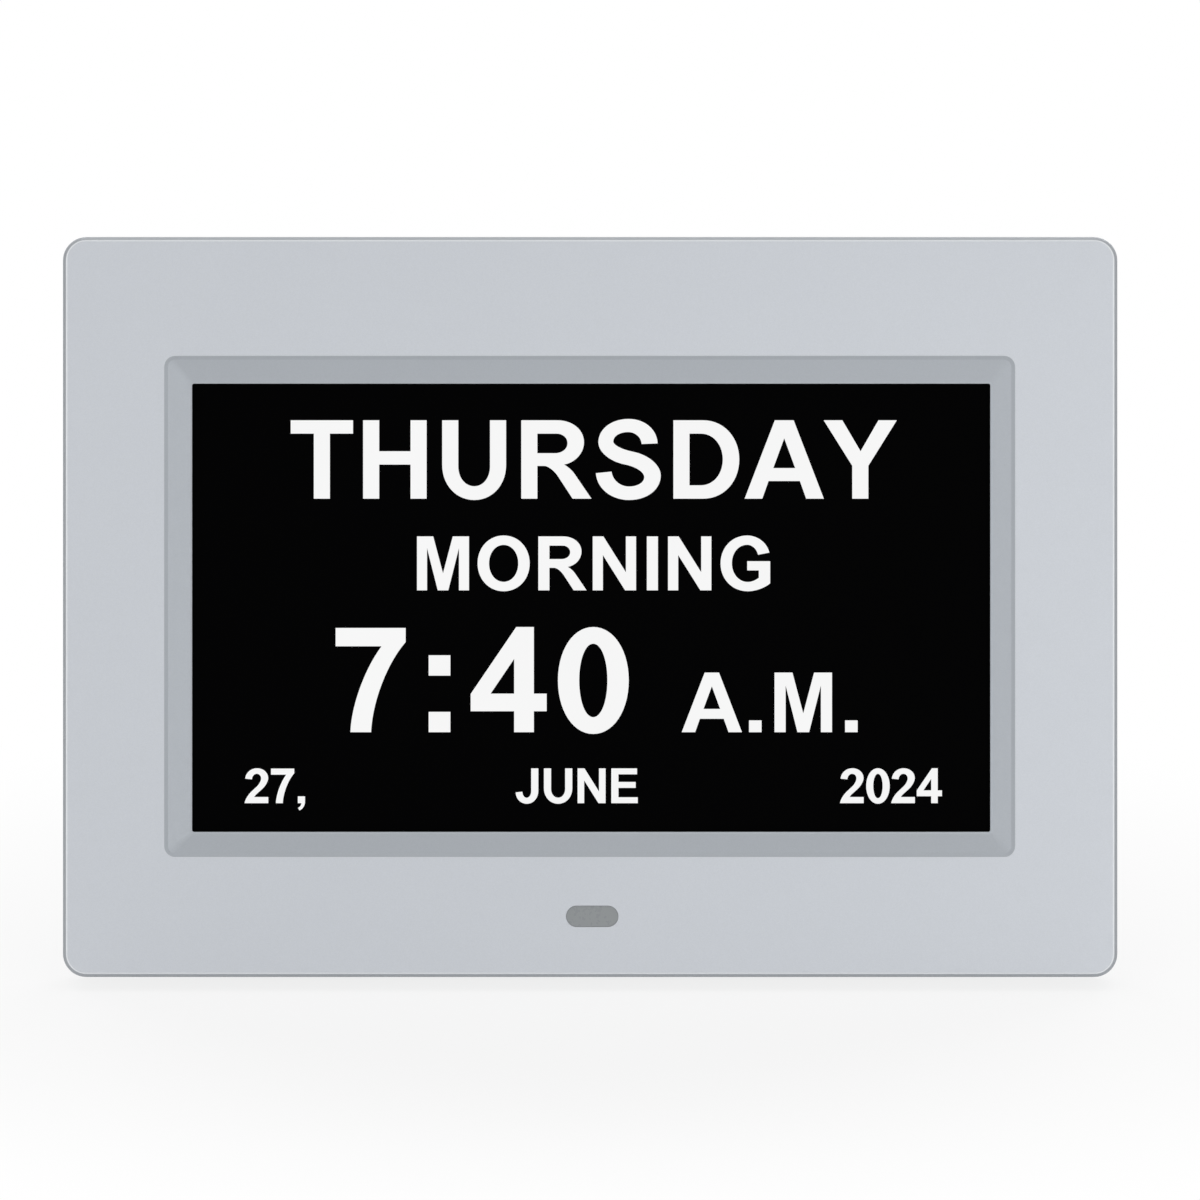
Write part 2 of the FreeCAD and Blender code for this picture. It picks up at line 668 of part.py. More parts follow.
def port_holes():
    """Holes in the right end wall for the power jack, the stick socket and the card socket."""
    x0, x1 = HUMP_IN_X - CUT, HUMP_W / 2 + CUT
    gap = 2 * PORT_HOLE_GAP
    usb = box(x0, x1, *around(USB_Y, USB_H + gap), *around(USB_Z, USB_W + gap))
    card = box(x0, x1, *around(CARD_Y, CARD_H + gap), *around(CARD_Z, CARD_W + gap))
    return [cross_rod(JACK_SNOUT_R + JACK_HOLE_GAP, JACK_Y, JACK_Z, x0, x1), usb, card]


def around(middle, size):
    """Lowest and highest value of a size centred on middle."""
    return middle - size / 2, middle + size / 2


def foot_block(x, low, high):
    """Block with rounded corners over one rubber foot's footprint."""
    y0 = TRAY_BACK_Y + FOOT_SET_BACK
    block = box(x - FOOT_W / 2, x + FOOT_W / 2, y0, y0 + FOOT_DEPTH, low, high)
    return block.makeFillet(FOOT_R, rising_edges(block.Edges))


def rear_cover():
    """Shallow tray that closes the bezel, with the hump, leg recess, grilles, keyholes and port holes."""
    tray = slab(CASE_W, CASE_H, CASE_R, 0, CASE_Z, SPLIT_Y, TRAY_BACK_Y)
    tray = tray.makeChamfer(TRAY_TAPER, edges_at_depth(tray, TRAY_BACK_Y))
    tray = tray.makeChamfer(SEAM, edges_at_depth(tray, SPLIT_Y))
    hump = slab(HUMP_W, HUMP_H, HUMP_R, 0, HUMP_Z, TRAY_IN_Y, HUMP_BACK_Y)
    hump = hump.makeFillet(HUMP_EDGE_R, edges_at_depth(hump, HUMP_BACK_Y))
    tray_in = (CASE_W - 2 * SIDE_WALL, CASE_H - 2 * SIDE_WALL, CASE_R - SIDE_WALL)
    hump_in = (HUMP_W - 2 * HUMP_WALL, HUMP_H - 2 * HUMP_WALL, HUMP_R - HUMP_WALL)
    hump_space = slab(*hump_in, 0, HUMP_Z, SPLIT_Y, HUMP_IN_Y)
    hump_space = hump_space.makeFillet(HUMP_EDGE_R - HUMP_WALL, edges_at_depth(hump_space, HUMP_IN_Y))
    spaces = [slab(*tray_in, 0, CASE_Z, SPLIT_Y - CUT, TRAY_IN_Y), hump_space]
    body = joined(tray, hump).cut(spaces)

    tongue_out = [size - 2 * TONGUE_GAP for size in tray_in[:2]]
    tongue_in = [size - 2 * TONGUE_T for size in tongue_out]
    tongue_y = SPLIT_Y - TONGUE_REACH
    round_r = tray_in[2] - TONGUE_GAP
    tongue = slab(*tongue_out, round_r, 0, CASE_Z, tongue_y, TRAY_IN_Y)
    tongue_hole = slab(*tongue_in, round_r / 2, 0, CASE_Z, tongue_y - CUT, TRAY_IN_Y + CUT)
    tongue_joint = slab(*tray_in, 0, CASE_Z, SPLIT_Y, TRAY_IN_Y).cut(tongue_hole)
    tongue = tongue.cut(tongue_hole)

    inside = [leg_recess(RECESS_WALL)]
    boss_end = RECESS_HALF_W + RECESS_WALL + PIN_BOSS_L
    inside.append(cross_rod(PIN_BOSS_R, HINGE_Y, HINGE_Z, -boss_end, boss_end))
    inside += [keyhole_cup(side * KEYHOLE_SPREAD / 2, KEYHOLE_CUP_WALL) for side in (-1, 1)]
    for side in (-1, 1):
        wall_y = HUMP_IN_Y - SPEAKER_WALL_H
        ring = rod(SPEAKER_WALL_OUT_R, side * SPEAKER_X, SPEAKER_Z, wall_y, HUMP_IN_Y)
        inside.append(ring.cut(rod(SPEAKER_WALL_IN_R, side * SPEAKER_X, SPEAKER_Z, wall_y, HUMP_IN_Y)))
    inside += [rod(BOARD_BOSS_R, x, z, BOARD_BACK_Y, HUMP_IN_Y) for x, z in BOARD_SCREW_PLACES]
    inside = [piece.common(hump) for piece in inside]
    bosses = [rod(COVER_BOSS_R, x, z, SPLIT_Y, TRAY_IN_Y) for x, z in CASE_SCREW_PLACES]
    body = joined(body, tongue, tongue_joint, *inside, *bosses)

    cuts = [leg_recess(0)]
    pin_end = boss_end - PIN_END_GAP + SCREW_TIP_GAP
    cuts.append(cross_rod(HINGE_PIN_R + HINGE_SEAT_GAP, HINGE_Y, HINGE_Z, -pin_end, pin_end))
    for side in (-1, 1):
        cuts += [keyhole(side * KEYHOLE_SPREAD / 2), keyhole_cup(side * KEYHOLE_SPREAD / 2, 0)]
        cuts += grille_slots(side * SPEAKER_X)
        low = HUMP_FOOT_MARGIN - CUT
        cuts.append(foot_block(side * FOOT_SPREAD / 2, low, HUMP_FOOT_MARGIN + FOOT_POCKET))
    cuts += [pilot(SMALL_SCREW, x, z, BOARD_BACK_Y, BOARD_FRONT_Y, 1) for x, z in BOARD_SCREW_PLACES]
    for x, z in CASE_SCREW_PLACES:
        cuts.append(rod(COUNTERBORE_R, x, z, CASE_SEAT_Y, TRAY_BACK_Y + CUT))
        cuts.append(rod(SHANK_HOLE_R, x, z, SPLIT_Y - CUT, TRAY_BACK_Y))
    for x in KEY_XS:
        hole = (KEY_W + 2 * KEY_GAP, KEY_H + 2 * KEY_GAP, KEY_R + KEY_GAP)
        cuts.append(slab(*hole, x, KEY_Z, TRAY_IN_Y - CUT, TRAY_BACK_Y + CUT))
    vent_z = RECESS_TOP_Z + VENT_ABOVE_RECESS + VENT_H / 2
    for i in range(VENT_COUNT):
        x = VENT_PITCH * (i - (VENT_COUNT - 1) / 2)
        cuts.append(slab(VENT_W, VENT_H, VENT_W / 2, x, vent_z, HUMP_IN_Y - CUT, HUMP_BACK_Y + CUT))
    return body.cut(cuts + port_holes())


def case_screws():
    return [screw(CASE_SCREW, x, z, CASE_SEAT_Y, -1) for x, z in CASE_SCREW_PLACES]


def under_table():
    """Everything near the clock that lies below the table."""
    near_y, far_y = HINGE_Y - LEG_L, HINGE_Y + 2 * LEG_L
    depth = -LEG_L
    side_view = [(near_y, table_z(near_y)), (far_y, table_z(far_y)), (far_y, depth), (near_y, depth)]
    return prism(side_view, -CASE_W, CASE_W)


def rubber_feet():
    """Feet in pockets under the hump, cut off flat on the table."""
    low = table_z(TRAY_BACK_Y + FOOT_SET_BACK) - CUT
    top = HUMP_FOOT_MARGIN + FOOT_POCKET
    return [foot_block(side * FOOT_SPREAD / 2, low, top).cut(under_table()) for side in (-1, 1)]


# ------------------------------------------------------------------ stand leg
def deployed(shape):
    """The folded leg's piece, swung out to its stop."""
    shape.rotate(V(0, HINGE_Y, HINGE_Z), V(1, 0, 0), LEG_OPEN_DEG)
    return shape


def leg_half_width(z):
    """Half the leg's width at height z, folded: it narrows evenly from the hinge to the tip."""
    share = (HINGE_Z - z) / LEG_L
    return (LEG_W + (LEG_TIP_W - LEG_W) * share) / 2


def leg_blade(inset, y0, y1, low, high):
    """Slice of the tapered leg between two heights, drawn folded, with its sides set in by inset."""
    bottom, top = leg_half_width(low) - inset, leg_half_width(high) - inset
    return plate([(-bottom, low), (bottom, low), (top, high), (-top, high)], y0, y1)


def stand_leg():
    """Tapered leg with a thick rim, grip grooves, a barrel round the pin and a heel that meets the stop."""
    front, back = HINGE_Y - LEG_T / 2, HINGE_Y + LEG_T / 2
    end_z = HINGE_Z - LEG_L + SHOE_H
    blade = leg_blade(0, front, back, end_z, HINGE_Z)
    blade = blade.makeFillet(LEG_EDGE_R, rising_edges(edges_at_depth(blade, back)))
    hollow_low = end_z + LEG_RIM
    hollow_high = HINGE_Z - BARREL_R - LEG_RIM
    blade = blade.cut(leg_blade(LEG_RIM, front - CUT, back - LEG_SKIN, hollow_low, hollow_high))
    rib_xs = [side * LEG_RIB_SPREAD / 2 for side in (-1, 1)]
    ribs = [
        box(x - LEG_RIM / 2, x + LEG_RIM / 2, front, back - LEG_SKIN / 2, end_z, hollow_high + TINY)
        for x in rib_xs
    ]
    barrel = cross_rod(BARREL_R, HINGE_Y, HINGE_Z, -LEG_W / 2, LEG_W / 2)
    heel_y = (HINGE_Y - HEEL_T / 2, HINGE_Y + HEEL_T / 2)
    heel = box(-LEG_W / 2, LEG_W / 2, *heel_y, HINGE_Z, HINGE_Z + HEEL_H)
    tongue_half = leg_half_width(end_z) - SHOE_TONGUE_INSET
    tongue_y = around(HINGE_Y, SHOE_TONGUE_T)
    tongue = box(-tongue_half, tongue_half, *tongue_y, end_z - SHOE_TONGUE_H, end_z + LEG_RIM / 2)
    body = joined(blade, *ribs, barrel, heel, tongue)
    cuts = [cross_rod(HINGE_PIN_R + HINGE_RUN_GAP, HINGE_Y, HINGE_Z, -LEG_W, LEG_W)]
    for i in range(GRIP_COUNT):
        z = end_z + GRIP_ABOVE_SHOE + GRIP_PITCH * i
        cuts.append(slab(GRIP_W, GRIP_H, GRIP_H / 2, 0, z, back - GRIP_DEPTH, back + CUT))
    return deployed(body.cut(cuts))


def leg_shoe():
    """Rubber shoe over the leg's tongue, cut off flat on the table."""
    front, back = HINGE_Y - LEG_T / 2, HINGE_Y + LEG_T / 2
    end_z = HINGE_Z - LEG_L + SHOE_H
    blank = leg_blade(0, front, back, end_z - 2 * SHOE_H, end_z)
    blank = blank.makeFillet(LEG_EDGE_R, rising_edges(edges_at_depth(blank, back)))
    tongue_half = leg_half_width(end_z) - SHOE_TONGUE_INSET
    socket = box(-tongue_half, tongue_half, *around(HINGE_Y, SHOE_TONGUE_T), end_z - SHOE_TONGUE_H, end_z)
    return deployed(blank.cut(socket)).cut(under_table())


def hinge_pin():
    end = RECESS_HALF_W + RECESS_WALL + PIN_BOSS_L - PIN_END_GAP
    return cross_rod(HINGE_PIN_R, HINGE_Y, HINGE_Z, -end, end)


def hinge_washers():
    """Friction washers between the leg's barrel and the recess walls."""
    washers = []
    for side in (-1, 1):
        middle = side * (LEG_W / 2 + LEG_SIDE_GAP / 2)
        x0, x1 = around(middle, WASHER_T)
        ring = cross_rod(WASHER_R, HINGE_Y, HINGE_Z, x0, x1)
        hole = cross_rod(HINGE_PIN_R + HINGE_RUN_GAP, HINGE_Y, HINGE_Z, x0 - CUT, x1 + CUT)
        washers.append(ring.cut(hole))
    return washers


# ------------------------------------------------------------------ panel
def panel_frame(width, height, rim, y0, y1):
    """Square-cornered frame of the panel module, rim wide inwards."""
    whole = centred_box(width, height, WINDOW_X, WINDOW_Z, y0, y1)
    return whole.cut(centred_box(width - 2 * rim, height - 2 * rim, WINDOW_X, WINDOW_Z, y0, y1))


def panel_sheet(inset, y0, y1):
    """Sheet of the panel module, set in from its outline."""
    return centred_box(PANEL_W - 2 * inset, PANEL_H - 2 * inset, WINDOW_X, WINDOW_Z, y0, y1)


def screen_gasket():
    inner = (WINDOW_W + 2 * PANEL_SIGHT, WINDOW_H + 2 * PANEL_SIGHT)
    outer = [size + 2 * GASKET_W for size in inner]
    return panel_frame(*outer, GASKET_W, LIP_BACK_Y, PANEL_Y)


def panel_steel_frame():
    """Pressed steel frame: a thin front with the sight opening, and four sides."""
    shell = panel_sheet(0, PANEL_Y, PANEL_BACK_Y)
    sight = (WINDOW_W + 2 * PANEL_SIGHT, WINDOW_H + 2 * PANEL_SIGHT)
    opening = centred_box(*sight, WINDOW_X, WINDOW_Z, PANEL_Y - CUT, PANEL_BACK_Y)
    return shell.cut([panel_sheet(PANEL_STEEL_T, GLASS_Y, PANEL_BACK_Y + CUT), opening])


def panel_polarizer():
    size = [side + 2 * (PANEL_SIGHT - GLASS_GAP) for side in (WINDOW_W, WINDOW_H)]
    return centred_box(*size, WINDOW_X, WINDOW_Z, GLASS_Y - POLARIZER_T, GLASS_Y)


def panel_glass():
    return panel_sheet(PANEL_STEEL_T + GLASS_GAP, GLASS_Y, FILMS_Y)


def panel_mould_frame():
    size = [side - 2 * (PANEL_STEEL_T + GLASS_GAP) for side in (PANEL_W, PANEL_H)]
    return panel_frame(*size, MOULD_FRAME_W, FILMS_Y, BACK_PLATE_Y)


def panel_films():
    return panel_sheet(PANEL_IN_RIM, FILMS_Y, GUIDE_Y)


def panel_light_guide():
    """Acrylic sheet that carries the light up from the strip along its lower edge."""
    whole = panel_sheet(PANEL_IN_RIM, GUIDE_Y, REFLECTOR_Y)
    low = STRIP_Z + LED_STRIP_T + LED_H + GLASS_GAP
    return whole.cut(box(-PANEL_W, PANEL_W, GUIDE_Y - CUT, REFLECTOR_Y + CUT, STRIP_Z - PANEL_H, low))


def panel_reflector():
    return panel_sheet(PANEL_IN_RIM, REFLECTOR_Y, BACK_PLATE_Y)


def panel_led_strip():
    """Row of light sources on a narrow board under the light guide."""
    half = PANEL_W / 2 - PANEL_IN_RIM
    strip = box(WINDOW_X - half, WINDOW_X + half, GUIDE_Y, REFLECTOR_Y, STRIP_Z, STRIP_Z + LED_STRIP_T)
    middle_y = (GUIDE_Y + REFLECTOR_Y) / 2
    lamps = []
    for i in range(LED_COUNT):
        x = WINDOW_X + LED_PITCH * (i - (LED_COUNT - 1) / 2)
        z0 = STRIP_Z + LED_STRIP_T
        lamps.append(box(*around(x, LED_W), *around(middle_y, LED_T), z0, z0 + LED_H))
    return joined(strip, *lamps)


def panel_back_plate():
    return panel_sheet(PANEL_STEEL_T + GLASS_GAP, BACK_PLATE_Y, PANEL_BACK_Y)


def panel_ribbon():
    """Flat cable from the panel's back to its socket on the main board."""
    width, height, thick, left, up = RIBBON_SOCKET
    x = BOARD_LEFT + left
    end = V(x, BOARD_FRONT_Y - thick / 2, BOARD_FOOT + up - height / 2)
    flat_y = PANEL_BACK_Y + RIBBON_T / 2
    leave_z = end.z - RIBBON_FLAT
    points = [V(x, flat_y, leave_z - RIBBON_FLAT), V(x, flat_y, leave_z)]
    points += [V(x, end.y, end.z - RIBBON_FLAT / 2), end]
    near, far = x - RIBBON_W / 2, x + RIBBON_W / 2
    y0, y1 = flat_y - RIBBON_T / 2, flat_y + RIBBON_T / 2
    z = points[0].z
    corners = [V(near, y0, z), V(far, y0, z), V(far, y1, z), V(near, y1, z)]
    section = Part.makePolygon([*corners, corners[0]])
    return rounded_path(points, RIBBON_BEND).makePipeShell([section], True, False)


def panel_clamps():
    """Flat clamps that lap over the panel's back edge."""
    clamps = []
    for side, x, z in CLAMP_PLACES:
        ends = sorted((WINDOW_X + side * (PANEL_W / 2 - CLAMP_LAP), x + side * CLAMP_END))
        flat = box(*ends, PANEL_BACK_Y, PANEL_BACK_Y + CLAMP_T, *around(z, CLAMP_W))
        hole_r = SMALL_SCREW[2] + SMALL_HOLE_GAP
        clamps.append(flat.cut(rod(hole_r, x, z, PANEL_BACK_Y - CUT, PANEL_BACK_Y + 2 * CLAMP_T)))
    return clamps


def panel_clamp_screws():
    return [screw(SMALL_SCREW, x, z, PANEL_BACK_Y + CLAMP_T, -1) for _, x, z in CLAMP_PLACES]


# ------------------------------------------------------------------ remote receiver
def lens_blank(grown, y0, y1):
    """The receiver window's capsule shape, grown all round."""
    width, height = LENS_W + 2 * grown, LENS_H + 2 * grown
    return slab(width, height, height / 2, LENS_X, LENS_Z, y0, y1)


def ir_window():
    flange = lens_blank(LENS_FLANGE, FASCIA_T, FASCIA_T + LENS_FLANGE_T)
    return joined(lens_blank(0, LENS_SET_IN, FASCIA_T + LENS_FLANGE_T), flange)


def ir_board():
    board = centred_box(IR_BOARD_W, IR_BOARD_H, LENS_X, LENS_Z, IR_BOARD_Y, IR_SEAT_Y)
    hole_r = SMALL_SCREW[2] + SMALL_HOLE_GAP
    return board.cut([rod(hole_r, x, z, IR_BOARD_Y - CUT, IR_SEAT_Y + CUT) for x, z in IR_SCREW_PLACES])


def ir_receiver():
    """Receiver package with a round lens towards the window."""
    front_y = IR_BOARD_Y - RECEIVER_T
    package = centred_box(RECEIVER_W, RECEIVER_H, LENS_X, LENS_Z, front_y, IR_BOARD_Y)
    dome_y = front_y + RECEIVER_DOME_R - RECEIVER_DOME_OUT
    dome = Part.makeSphere(RECEIVER_DOME_R, V(LENS_X, dome_y, LENS_Z))
    return joined(package, dome)


def ir_board_screws():
    return [screw(SMALL_SCREW, x, z, IR_SEAT_Y, -1) for x, z in IR_SCREW_PLACES]


# ------------------------------------------------------------------ keys
def key_cap(x):
    """Key with a flange behind the cover's wall and softened outer edges."""
    cap = slab(KEY_W, KEY_H, KEY_R, x, KEY_Z, KEY_FLANGE_Y, KEY_TOP_Y)
    cap = cap.makeFillet(KEY_CROWN_R, edges_at_depth(cap, KEY_TOP_Y))
    flange = (KEY_W + 2 * (KEY_GAP + KEY_FLANGE), KEY_H + 2 * (KEY_GAP + KEY_FLANGE), KEY_R + KEY_FLANGE)
    return joined(cap, slab(*flange, x, KEY_Z, KEY_FLANGE_Y, KEY_FLANGE_Y + KEY_FLANGE_T))


def key_stem(x):
    """Stem of the switch under a key: the key rests on it."""
    return rod(STEM_R, x, KEY_Z, SWITCH_TOP_Y - STEM_IN_SWITCH, KEY_FLANGE_Y)


def key_board():
    board = centred_box(KEY_BOARD_W, KEY_BOARD_H, 0, KEY_Z, KEY_BOARD_Y, SWITCH_Y)
    hole_r = SMALL_SCREW[2] + SMALL_HOLE_GAP
    return board.cut([rod(hole_r, x, KEY_Z, KEY_BOARD_Y - CUT, SWITCH_Y + CUT) for x in KEY_SCREW_XS])


def key_switches():
    """Switch bodies, each with the well that its stem moves in."""
    well_y = SWITCH_TOP_Y - STEM_IN_SWITCH - STEM_ROOM
    bodies = []
    for x in KEY_XS:
        body = centred_box(SWITCH_W, SWITCH_W, x, KEY_Z, SWITCH_Y, SWITCH_TOP_Y)
        bodies.append(body.cut(rod(STEM_R + STEM_RUN_GAP, x, KEY_Z, well_y, SWITCH_TOP_Y + CUT)))
    return bodies


def key_board_screws():
    return [screw(KEY_SCREW, x, KEY_Z, SWITCH_Y, -1) for x in KEY_SCREW_XS]


# ------------------------------------------------------------------ main board
def board_place(left, up):
    """Point on the main board, from its lower left corner as seen from the front."""
    return BOARD_LEFT + left, BOARD_FOOT + up


def main_board():
    middle = board_place(BOARD_W / 2, BOARD_H / 2)
    board = centred_box(BOARD_W, BOARD_H, *middle, BOARD_FRONT_Y, BOARD_BACK_Y)
    hole_r = SMALL_SCREW[2] + SMALL_HOLE_GAP
    holes = [rod(hole_r, x, z, BOARD_FRONT_Y - CUT, BOARD_BACK_Y + CUT) for x, z in BOARD_SCREW_PLACES]
    return board.cut(holes)


def board_screws():
    return [screw(SMALL_SCREW, x, z, BOARD_FRONT_Y, 1) for x, z in BOARD_SCREW_PLACES]


def board_chips():
    chips = []
    for width, height, thick, left, up in CHIPS:
        y0, y1 = BOARD_BACK_Y, BOARD_BACK_Y + thick
        chips.append(centred_box(width, height, *board_place(left, up), y0, y1))
    return chips


def board_connectors():
    sockets = []
    for socket in (RIBBON_SOCKET, LEFT_SPEAKER_SOCKET, IR_SOCKET, KEY_SOCKET, RIGHT_SPEAKER_SOCKET):
        width, height, thick, left, up = socket
        y0, y1 = BOARD_FRONT_Y - thick, BOARD_FRONT_Y
        sockets.append(centred_box(width, height, *board_place(left, up), y0, y1))
    return sockets


def board_capacitors():
    """Row of round capacitors with softened tops."""
    cans = []
    for i in range(CAPACITOR_COUNT):
        x, z = board_place(CAPACITOR_LEFT, CAPACITOR_UP + CAPACITOR_PITCH * i)
        top_y = BOARD_BACK_Y + CAPACITOR_H
        can = rod(CAPACITOR_R, x, z, BOARD_BACK_Y, top_y)
        cans.append(can.makeFillet(CAPACITOR_TOP_R, edges_at_depth(can, top_y)))
    return cans


def coin_cell():
    y0 = BOARD_BACK_Y + CELL_FLOOR
    return rod(CELL_R, *board_place(CELL_LEFT, CELL_UP), y0, y0 + CELL_T)


def coin_cell_holder():
    """Round cup that the cell drops into."""
    x, z = board_place(CELL_LEFT, CELL_UP)
    floor_y = BOARD_BACK_Y + CELL_FLOOR
    top_y = BOARD_BACK_Y + CELL_HOLDER_H
    cup = rod(CELL_R + CELL_WALL, x, z, BOARD_BACK_Y, top_y)
    return cup.cut(rod(CELL_R + SMALL_HOLE_GAP, x, z, floor_y, top_y + CUT))


def dc_jack():
    """Power jack: a square body on the board and a round mouth in the wall's hole."""
    face_x = HUMP_IN_X - JACK_HOLE_GAP
    body = box(face_x - JACK_BODY_L, face_x, BOARD_BACK_Y, BOARD_BACK_Y + JACK_H, *around(JACK_Z, JACK_W))
    snout = cross_rod(JACK_SNOUT_R, JACK_Y, JACK_Z, face_x - CUT, PORT_FACE_X)
    bore = cross_rod(JACK_BORE_R, JACK_Y, JACK_Z, PORT_FACE_X - JACK_BORE_L, PORT_FACE_X + CUT)
    return joined(body, snout).cut(bore)


def dc_jack_pin():
    ends = (PORT_FACE_X - JACK_BORE_L, PORT_FACE_X - JACK_PIN_SHORT)
    return cross_rod(JACK_PIN_R, JACK_Y, JACK_Z, *ends)


def usb_socket():
    """Folded metal shell of the stick socket, closed at its inner end."""
    x0 = PORT_FACE_X - USB_L
    shell = box(x0, PORT_FACE_X, *around(USB_Y, USB_H), *around(USB_Z, USB_W))
    inner_h, inner_w = USB_H - 2 * USB_SHELL_T, USB_W - 2 * USB_SHELL_T
    space = (x0 + USB_SHELL_T, PORT_FACE_X + CUT)
    return shell.cut(box(*space, *around(USB_Y, inner_h), *around(USB_Z, inner_w)))


def usb_tongue():
    """Insulating block at the socket's inner end, with the contact tongue."""
    x0 = PORT_FACE_X - USB_L + USB_SHELL_T
    inner_h, inner_w = USB_H - 2 * USB_SHELL_T, USB_W - 2 * USB_SHELL_T
    block = box(x0, x0 + USB_BLOCK_L, *around(USB_Y, inner_h), *around(USB_Z, inner_w))
    y0 = USB_Y - inner_h / 2 + USB_TONGUE_LIFT
    ends = (x0, PORT_FACE_X - USB_TONGUE_SHORT)
    return joined(block, box(*ends, y0, y0 + USB_TONGUE_T, *around(USB_Z, USB_TONGUE_W)))


def card_socket():
    shell = box(PORT_FACE_X - CARD_L, PORT_FACE_X, *around(CARD_Y, CARD_H), *around(CARD_Z, CARD_W))
    space = (PORT_FACE_X - CARD_SLOT_L, PORT_FACE_X + CUT)
    return shell.cut(box(*space, *around(CARD_Y, CARD_SLOT_H), *around(CARD_Z, CARD_SLOT_W)))


# ------------------------------------------------------------------ speakers
SPEAKER_Y = HUMP_IN_Y - FOAM_T
BASKET_Y = SPEAKER_Y - SPEAKER_FLANGE_T - SPEAKER_BASKET_H
CONE_RIM = 0.8
CONE_SEAT_DROP = 0.7
CONE_SEAT_Y = SPEAKER_Y - CONE_SEAT_DROP
BASKET_FLOOR = 0.4
DOME_H = 0.8


def speaker_frame(x):
    """Steel basket with its magnet, open to the back, towards the grille."""
    outside = [
        (0, BASKET_Y - MAGNET_H),
        (MAGNET_R, BASKET_Y - MAGNET_H),
        (MAGNET_R, BASKET_Y),
        (SPEAKER_BASKET_R, BASKET_Y),
        (SPEAKER_R, SPEAKER_Y - SPEAKER_FLANGE_T),
        (SPEAKER_R, SPEAKER_Y),
    ]
    hollow = [
        (CONE_R, SPEAKER_Y),
        (CONE_R, CONE_SEAT_Y),
        (CONE_R - CONE_RIM, CONE_SEAT_Y),
        (CONE_NECK_R + CONE_RIM, BASKET_Y + BASKET_FLOOR),
        (0, BASKET_Y + BASKET_FLOOR),
    ]
    return turned(outside + hollow, x, SPEAKER_Z)


def speaker_cone(x):
    """Paper cone with a flat rim on the basket's seat and a low dome."""
    neck_y = CONE_SEAT_Y - CONE_DEPTH
    front = [(0, neck_y), (CONE_NECK_R, neck_y), (CONE_R - CONE_RIM, CONE_SEAT_Y), (CONE_R, CONE_SEAT_Y)]
    back = [(CONE_R, CONE_SEAT_Y + CONE_T), (CONE_R - CONE_RIM, CONE_SEAT_Y + CONE_T)]
    back += [(CONE_NECK_R, neck_y + CONE_T), (0, neck_y + CONE_T + DOME_H)]
    return turned(front + back, x, SPEAKER_Z)


def foam_ring(x):
    ring = rod(SPEAKER_R, x, SPEAKER_Z, SPEAKER_Y, HUMP_IN_Y)
    return ring.cut(rod(SPEAKER_R - FOAM_W, x, SPEAKER_Z, SPEAKER_Y, HUMP_IN_Y))


def both_sides(make):
    """The left and the right one of a pair."""
    return [make(side * SPEAKER_X) for side in (-1, 1)]


# ------------------------------------------------------------------ leads
LEAD_TOP_Z = SPEAKER_Z + MAGNET_R
LEAD_CLEAR_Z = LEAD_TOP_Z + SPEAKER_LEAD_RISE
LEAD_ACROSS_Z = LEAD_CLEAR_Z + SPEAKER_LEAD_CLIMB
LEAD_SPEAKER_Y = BASKET_Y - MAGNET_H / 2
LEAD_PLANE_Y = BOARD_FRONT_Y - LEAD_OFF_BOARD
LEAD_LOW_PLANE_Y = PANEL_BACK_Y + LEAD_OFF_PANEL
SOCKET_MID_Y = BOARD_FRONT_Y - IR_SOCKET[2] / 2


def speaker_leads():
    """Leads from each speaker's magnet side to its socket on the main board."""
    width, _, _, left, up = LEFT_SPEAKER_SOCKET
    left_x, left_z = board_place(left - width / 2, up)
    left_lead = lead(
        LEAD_R,
        (-SPEAKER_X, LEAD_SPEAKER_Y, LEAD_TOP_Z),
        (-SPEAKER_X, LEAD_SPEAKER_Y, LEAD_CLEAR_Z),
        (-SPEAKER_X + SPEAKER_LEAD_STEP, LEAD_PLANE_Y, LEAD_ACROSS_Z),
        (left_x - SPEAKER_LEAD_TURN, LEAD_PLANE_Y, LEAD_ACROSS_Z),
        (left_x - SPEAKER_LEAD_RUN, SOCKET_MID_Y, left_z - SPEAKER_LEAD_DROP),
        (left_x - SPEAKER_LEAD_RUN, SOCKET_MID_Y, left_z),
        (left_x, SOCKET_MID_Y, left_z),
    )
    _, height, _, left, up = RIGHT_SPEAKER_SOCKET
    right_x, right_z = board_place(left, up - height / 2)
    right_lead = lead(
        LEAD_R,
        (SPEAKER_X, LEAD_SPEAKER_Y, LEAD_TOP_Z),
        (SPEAKER_X, LEAD_SPEAKER_Y, LEAD_CLEAR_Z),
        (right_x, LEAD_PLANE_Y, LEAD_ACROSS_Z),
        (right_x, SOCKET_MID_Y, right_z - SPEAKER_LEAD_RUN),
        (right_x, SOCKET_MID_Y, right_z),
    )
    return [left_lead, right_lead]


def ir_lead():
    """Lead from the receiver's board, behind the panel, to its socket on the main board."""
    end_x, end_z = board_place(IR_SOCKET[3] - IR_SOCKET[0] / 2, IR_SOCKET[4])
    start_x, start_z = LENS_X + IR_LEAD_SIDE, LENS_Z + IR_LEAD_UP
    across_x = end_x - IR_LEAD_BESIDE
    return lead(
        LEAD_R,
        (start_x, IR_SEAT_Y, start_z),
        (start_x, LEAD_LOW_PLANE_Y + IR_LEAD_SAG, start_z),
        (start_x, LEAD_LOW_PLANE_Y, start_z + IR_LEAD_CLIMB),
        (across_x, LEAD_LOW_PLANE_Y, end_z - IR_LEAD_TURN),
        (across_x, LEAD_LOW_PLANE_Y, end_z - IR_LEAD_DROP),
        (end_x - IR_LEAD_RUN, SOCKET_MID_Y, end_z),
        (end_x, SOCKET_MID_Y, end_z),
    )


